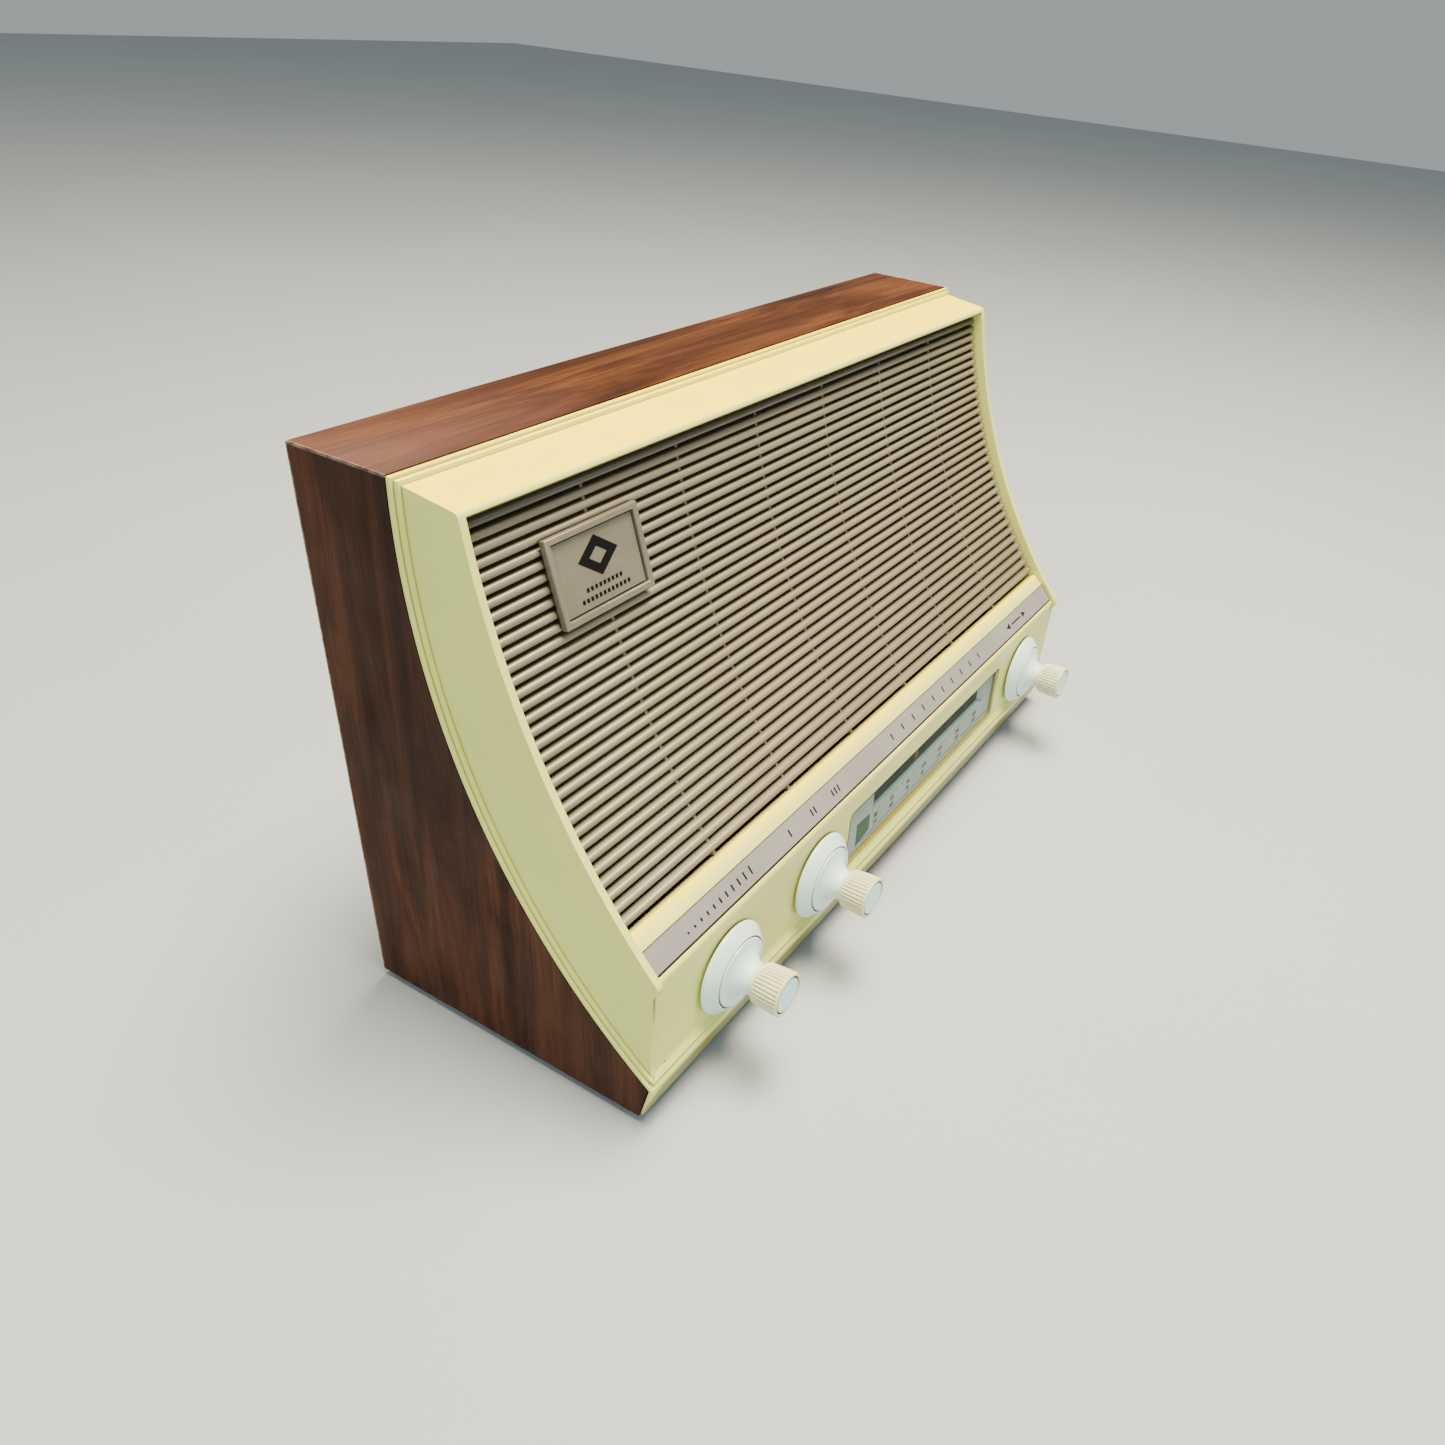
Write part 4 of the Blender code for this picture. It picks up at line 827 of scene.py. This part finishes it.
def dial():
    """Numbers and lines on the printed scale, its green corner, and a painted shadow at its upper
    left.
    """
    front_d = (BACK_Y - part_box("dial_scale")[0].y) / MM
    upright = Matrix.Rotation(math.radians(90), 4, "X")
    rows = ("88 92 96 100 104 106 108", "54 60 70 85 110 140 160")
    places = (-16.5, -2.0, 13.0, 28.0, 44.5, 63.0, 82.0)
    numbers = []
    for row, z in zip(rows, (34.6, 31.0)):
        for words, x in zip(row.split(), places):
            mesh = text_mesh("number", words, 3.2)
            mesh.transform(Matrix.Translation(spot(x, front_d + 0.03, z)) @ upright)
            numbers.append(mesh)
    piece("dial_numbers", joined("dial_numbers", numbers), PRINT)
    across, up, outward = Vector((1, 0, 0)), Vector((0, 0, 1)), Vector((0, -1, 0))
    origin = spot(0.0, front_d, 0.0)
    lines = [bar(34.0, 28.4, 126.0, 0.3)]
    lines += [bar(SLOT[0] + 1.0 + 5.25 * i, SLOT[2] - 0.9, 0.3, 1.1) for i in range(21)]
    flat_marks("dial_lines", lines, origin, across, up, outward, PRINT)
    left, right, bottom, top = WINDOW
    inner = rounded(left, right, bottom, top, 2.0)
    outer = rounded(left - 0.55, right + 0.55, bottom - 0.55, top + 0.55, 2.5)
    count = len(inner)
    joint = [[outer[i], outer[(i + 1) % count], inner[(i + 1) % count], inner[i]]
             for i in range(count)]
    (high_d, high_z), (low_d, low_z) = NOSE_LINE[-1], PANEL_FOOT
    up_panel = Vector((0.0, low_d - high_d, high_z - low_z)).normalized()
    out_panel = Vector((0.0, -up_panel.z, up_panel.y))
    at_foot = spot(0.0, low_d - low_z * (high_d - low_d) / (high_z - low_z), 0.0)
    flat_marks("window_joint", joint, at_foot, across, up_panel, out_panel, PRINT)
    # painted shadow: a dark bar under the window's top edge, at the scale's upper left
    shade = bar(SLOT[0] - 11.0, SLOT[3] - 0.6, 21.0, 1.1)
    flat_marks("dial_shade", [shade], origin, across, up, outward, PRINT)
    patch = [(-33.0, 28.0), (-21.8, 30.5), (-21.8, 38.6), (-33.0, 39.4)]
    flat_marks("dial_corner", [patch], origin, across, up, outward, GREEN)


# ---------------------------------------------------------------- knobs

def knobs():
    """Skirt, flared neck and fluted grip."""
    for name, body in (("volume", "volume_control_shaft"), ("band", "band_selector"),
                       ("tuning", "tuning_spindle")):
        low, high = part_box(f"{name}_knob")
        centre = ((low.x + high.x) / 2 / MM, (BACK_Y - high.y) / MM, (low.z + high.z) / 2 / MM)
        length = (high.y - low.y) / MM
        skirt = (high.x - low.x) / 2 / MM

        def fluted(angle, radius, forward):
            if 13.2 < forward < length - 0.9 and radius > 7.0:
                return radius - FLUTE_DEPTH * (0.5 + 0.5 * math.cos(FLUTES * angle)) ** 2
            return radius

        grip = [(0.0, length - 1.7), (6.5, length - 1.7), (6.7, length - 1.5),
                (6.9, length - 0.3), (7.1, length), (7.5, length), (7.85, length - 0.25),
                (8.05, length - 0.8), (8.08, length - 1.0), (7.95, 20.0), (7.75, 17.0),
                (7.5, 14.2), (7.35, 13.3), (7.2, 12.9)]
        neck = [(6.8, 12.6), (6.1, 12.2), (5.75, 11.6), (5.7, 11.0), (5.85, 10.0), (6.3, 8.8),
                (7.0, 7.7), (8.0, 6.7), (9.4, 5.9), (11.0, 5.4), (12.4, 5.2)]
        groove = [(12.65, 5.1), (12.75, 4.8), (12.8, 3.7), (13.2, 3.7), (13.25, 4.5)]
        rim = [(13.45, 4.7), (13.8, 4.5), (16.5, 1.75), (16.95, 1.3), (skirt, 0.8),
               (skirt, 0.15), (skirt - 0.15, 0.0), (0.0, 0.0)]
        mesh = turned_mesh(f"{name}_fluted", grip + neck + groove + rim, centre, 8 * FLUTES, fluted)
        control = piece(f"{name}_fluted", mesh, KNOB, body)
        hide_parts(f"{name}_knob")


# ---------------------------------------------------------------- back

def back_fittings():
    """Screw terminals on the aerial plate, which are too many for nodes of their own."""
    low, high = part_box("aerial_terminals")
    middle_z = (low.z + high.z) / 2 / MM
    back_d = (BACK_Y - high.y) / MM
    profile = [(0.0, 0.0), (3.4, 0.0), (3.4, -0.7), (2.6, -0.9), (2.6, -1.9), (2.2, -2.2),
               (0.0, -2.3)]
    screws = []
    for i in range(3):
        x = (low.x + high.x) / 2 / MM + (i - 1) * 13.0
        screws.append(turned_mesh("terminal", profile, (x, back_d, middle_z), 32))
    mesh = joined("terminal_screws", screws)
    smooth(mesh)
    piece("terminal_screws", mesh, STEEL)


# ---------------------------------------------------------------- stage

def stage():
    floor_mesh = bpy.data.meshes.new("floor")
    bm = bmesh.new()
    bmesh.ops.create_grid(bm, x_segments=1, y_segments=1, size=4.0)
    bm.to_mesh(floor_mesh)
    bm.free()
    floor = bpy.data.objects.new("floor", floor_mesh)
    bpy.context.scene.collection.objects.link(floor)
    material, tree, shader = start_material("pale_floor")
    shade = ramp(tree, noise(tree, coordinates(tree), 3.0),
                 [(0.0, (0.36, 0.40, 0.43)), (1.0, (0.40, 0.44, 0.47))])
    tree.links.new(shade, shader.inputs["Base Color"])
    shader.inputs["Roughness"].default_value = 0.9
    floor_mesh.materials.append(material)

    world = bpy.data.worlds.new("studio")
    world.use_nodes = True
    background = world.node_tree.nodes["Background"]
    background.inputs["Color"].default_value = (0.88, 1.0, 0.98, 1.0)
    background.inputs["Strength"].default_value = 0.4
    bpy.context.scene.world = world

    def lamp(name, place, size, power, colour):
        data = bpy.data.lights.new(name, "AREA")
        data.shape = "RECTANGLE"
        data.size, data.size_y = size
        data.energy = power
        data.color = colour
        obj = bpy.data.objects.new(name, data)
        obj.location = place
        aim = Vector((0.0, 0.0, 0.1)) - Vector(place)
        obj.rotation_euler = aim.to_track_quat("-Z", "Y").to_euler()
        bpy.context.scene.collection.objects.link(obj)

    lamp("overhead", (0.10, -0.16, 1.5), (0.9, 0.6), 100.0, (1.0, 0.83, 0.62))
    lamp("front_fill", (0.3, -1.6, 0.9), (1.2, 0.9), 6.0, (0.92, 1.0, 0.94))
    lamp("left_fill", (-1.4, -0.4, 0.6), (1.0, 0.9), 9.0, (0.94, 1.0, 0.97))


def camera():
    data = bpy.data.cameras.new("camera")
    data.sensor_width = 36.0
    data.lens = 28.40
    data.shift_x = -0.0883
    data.clip_start = 0.01
    obj = bpy.data.objects.new("camera", data)
    obj.location = (-0.3630, -0.2070, 0.3227)
    obj.rotation_euler = [math.radians(angle) for angle in (57.265, -4.781, -60.035)]
    bpy.context.scene.collection.objects.link(obj)
    bpy.context.scene.camera = obj


dress()
front_moulding()
grille()
badge()
legends()
dial()
knobs()
back_fittings()
stage()
camera()
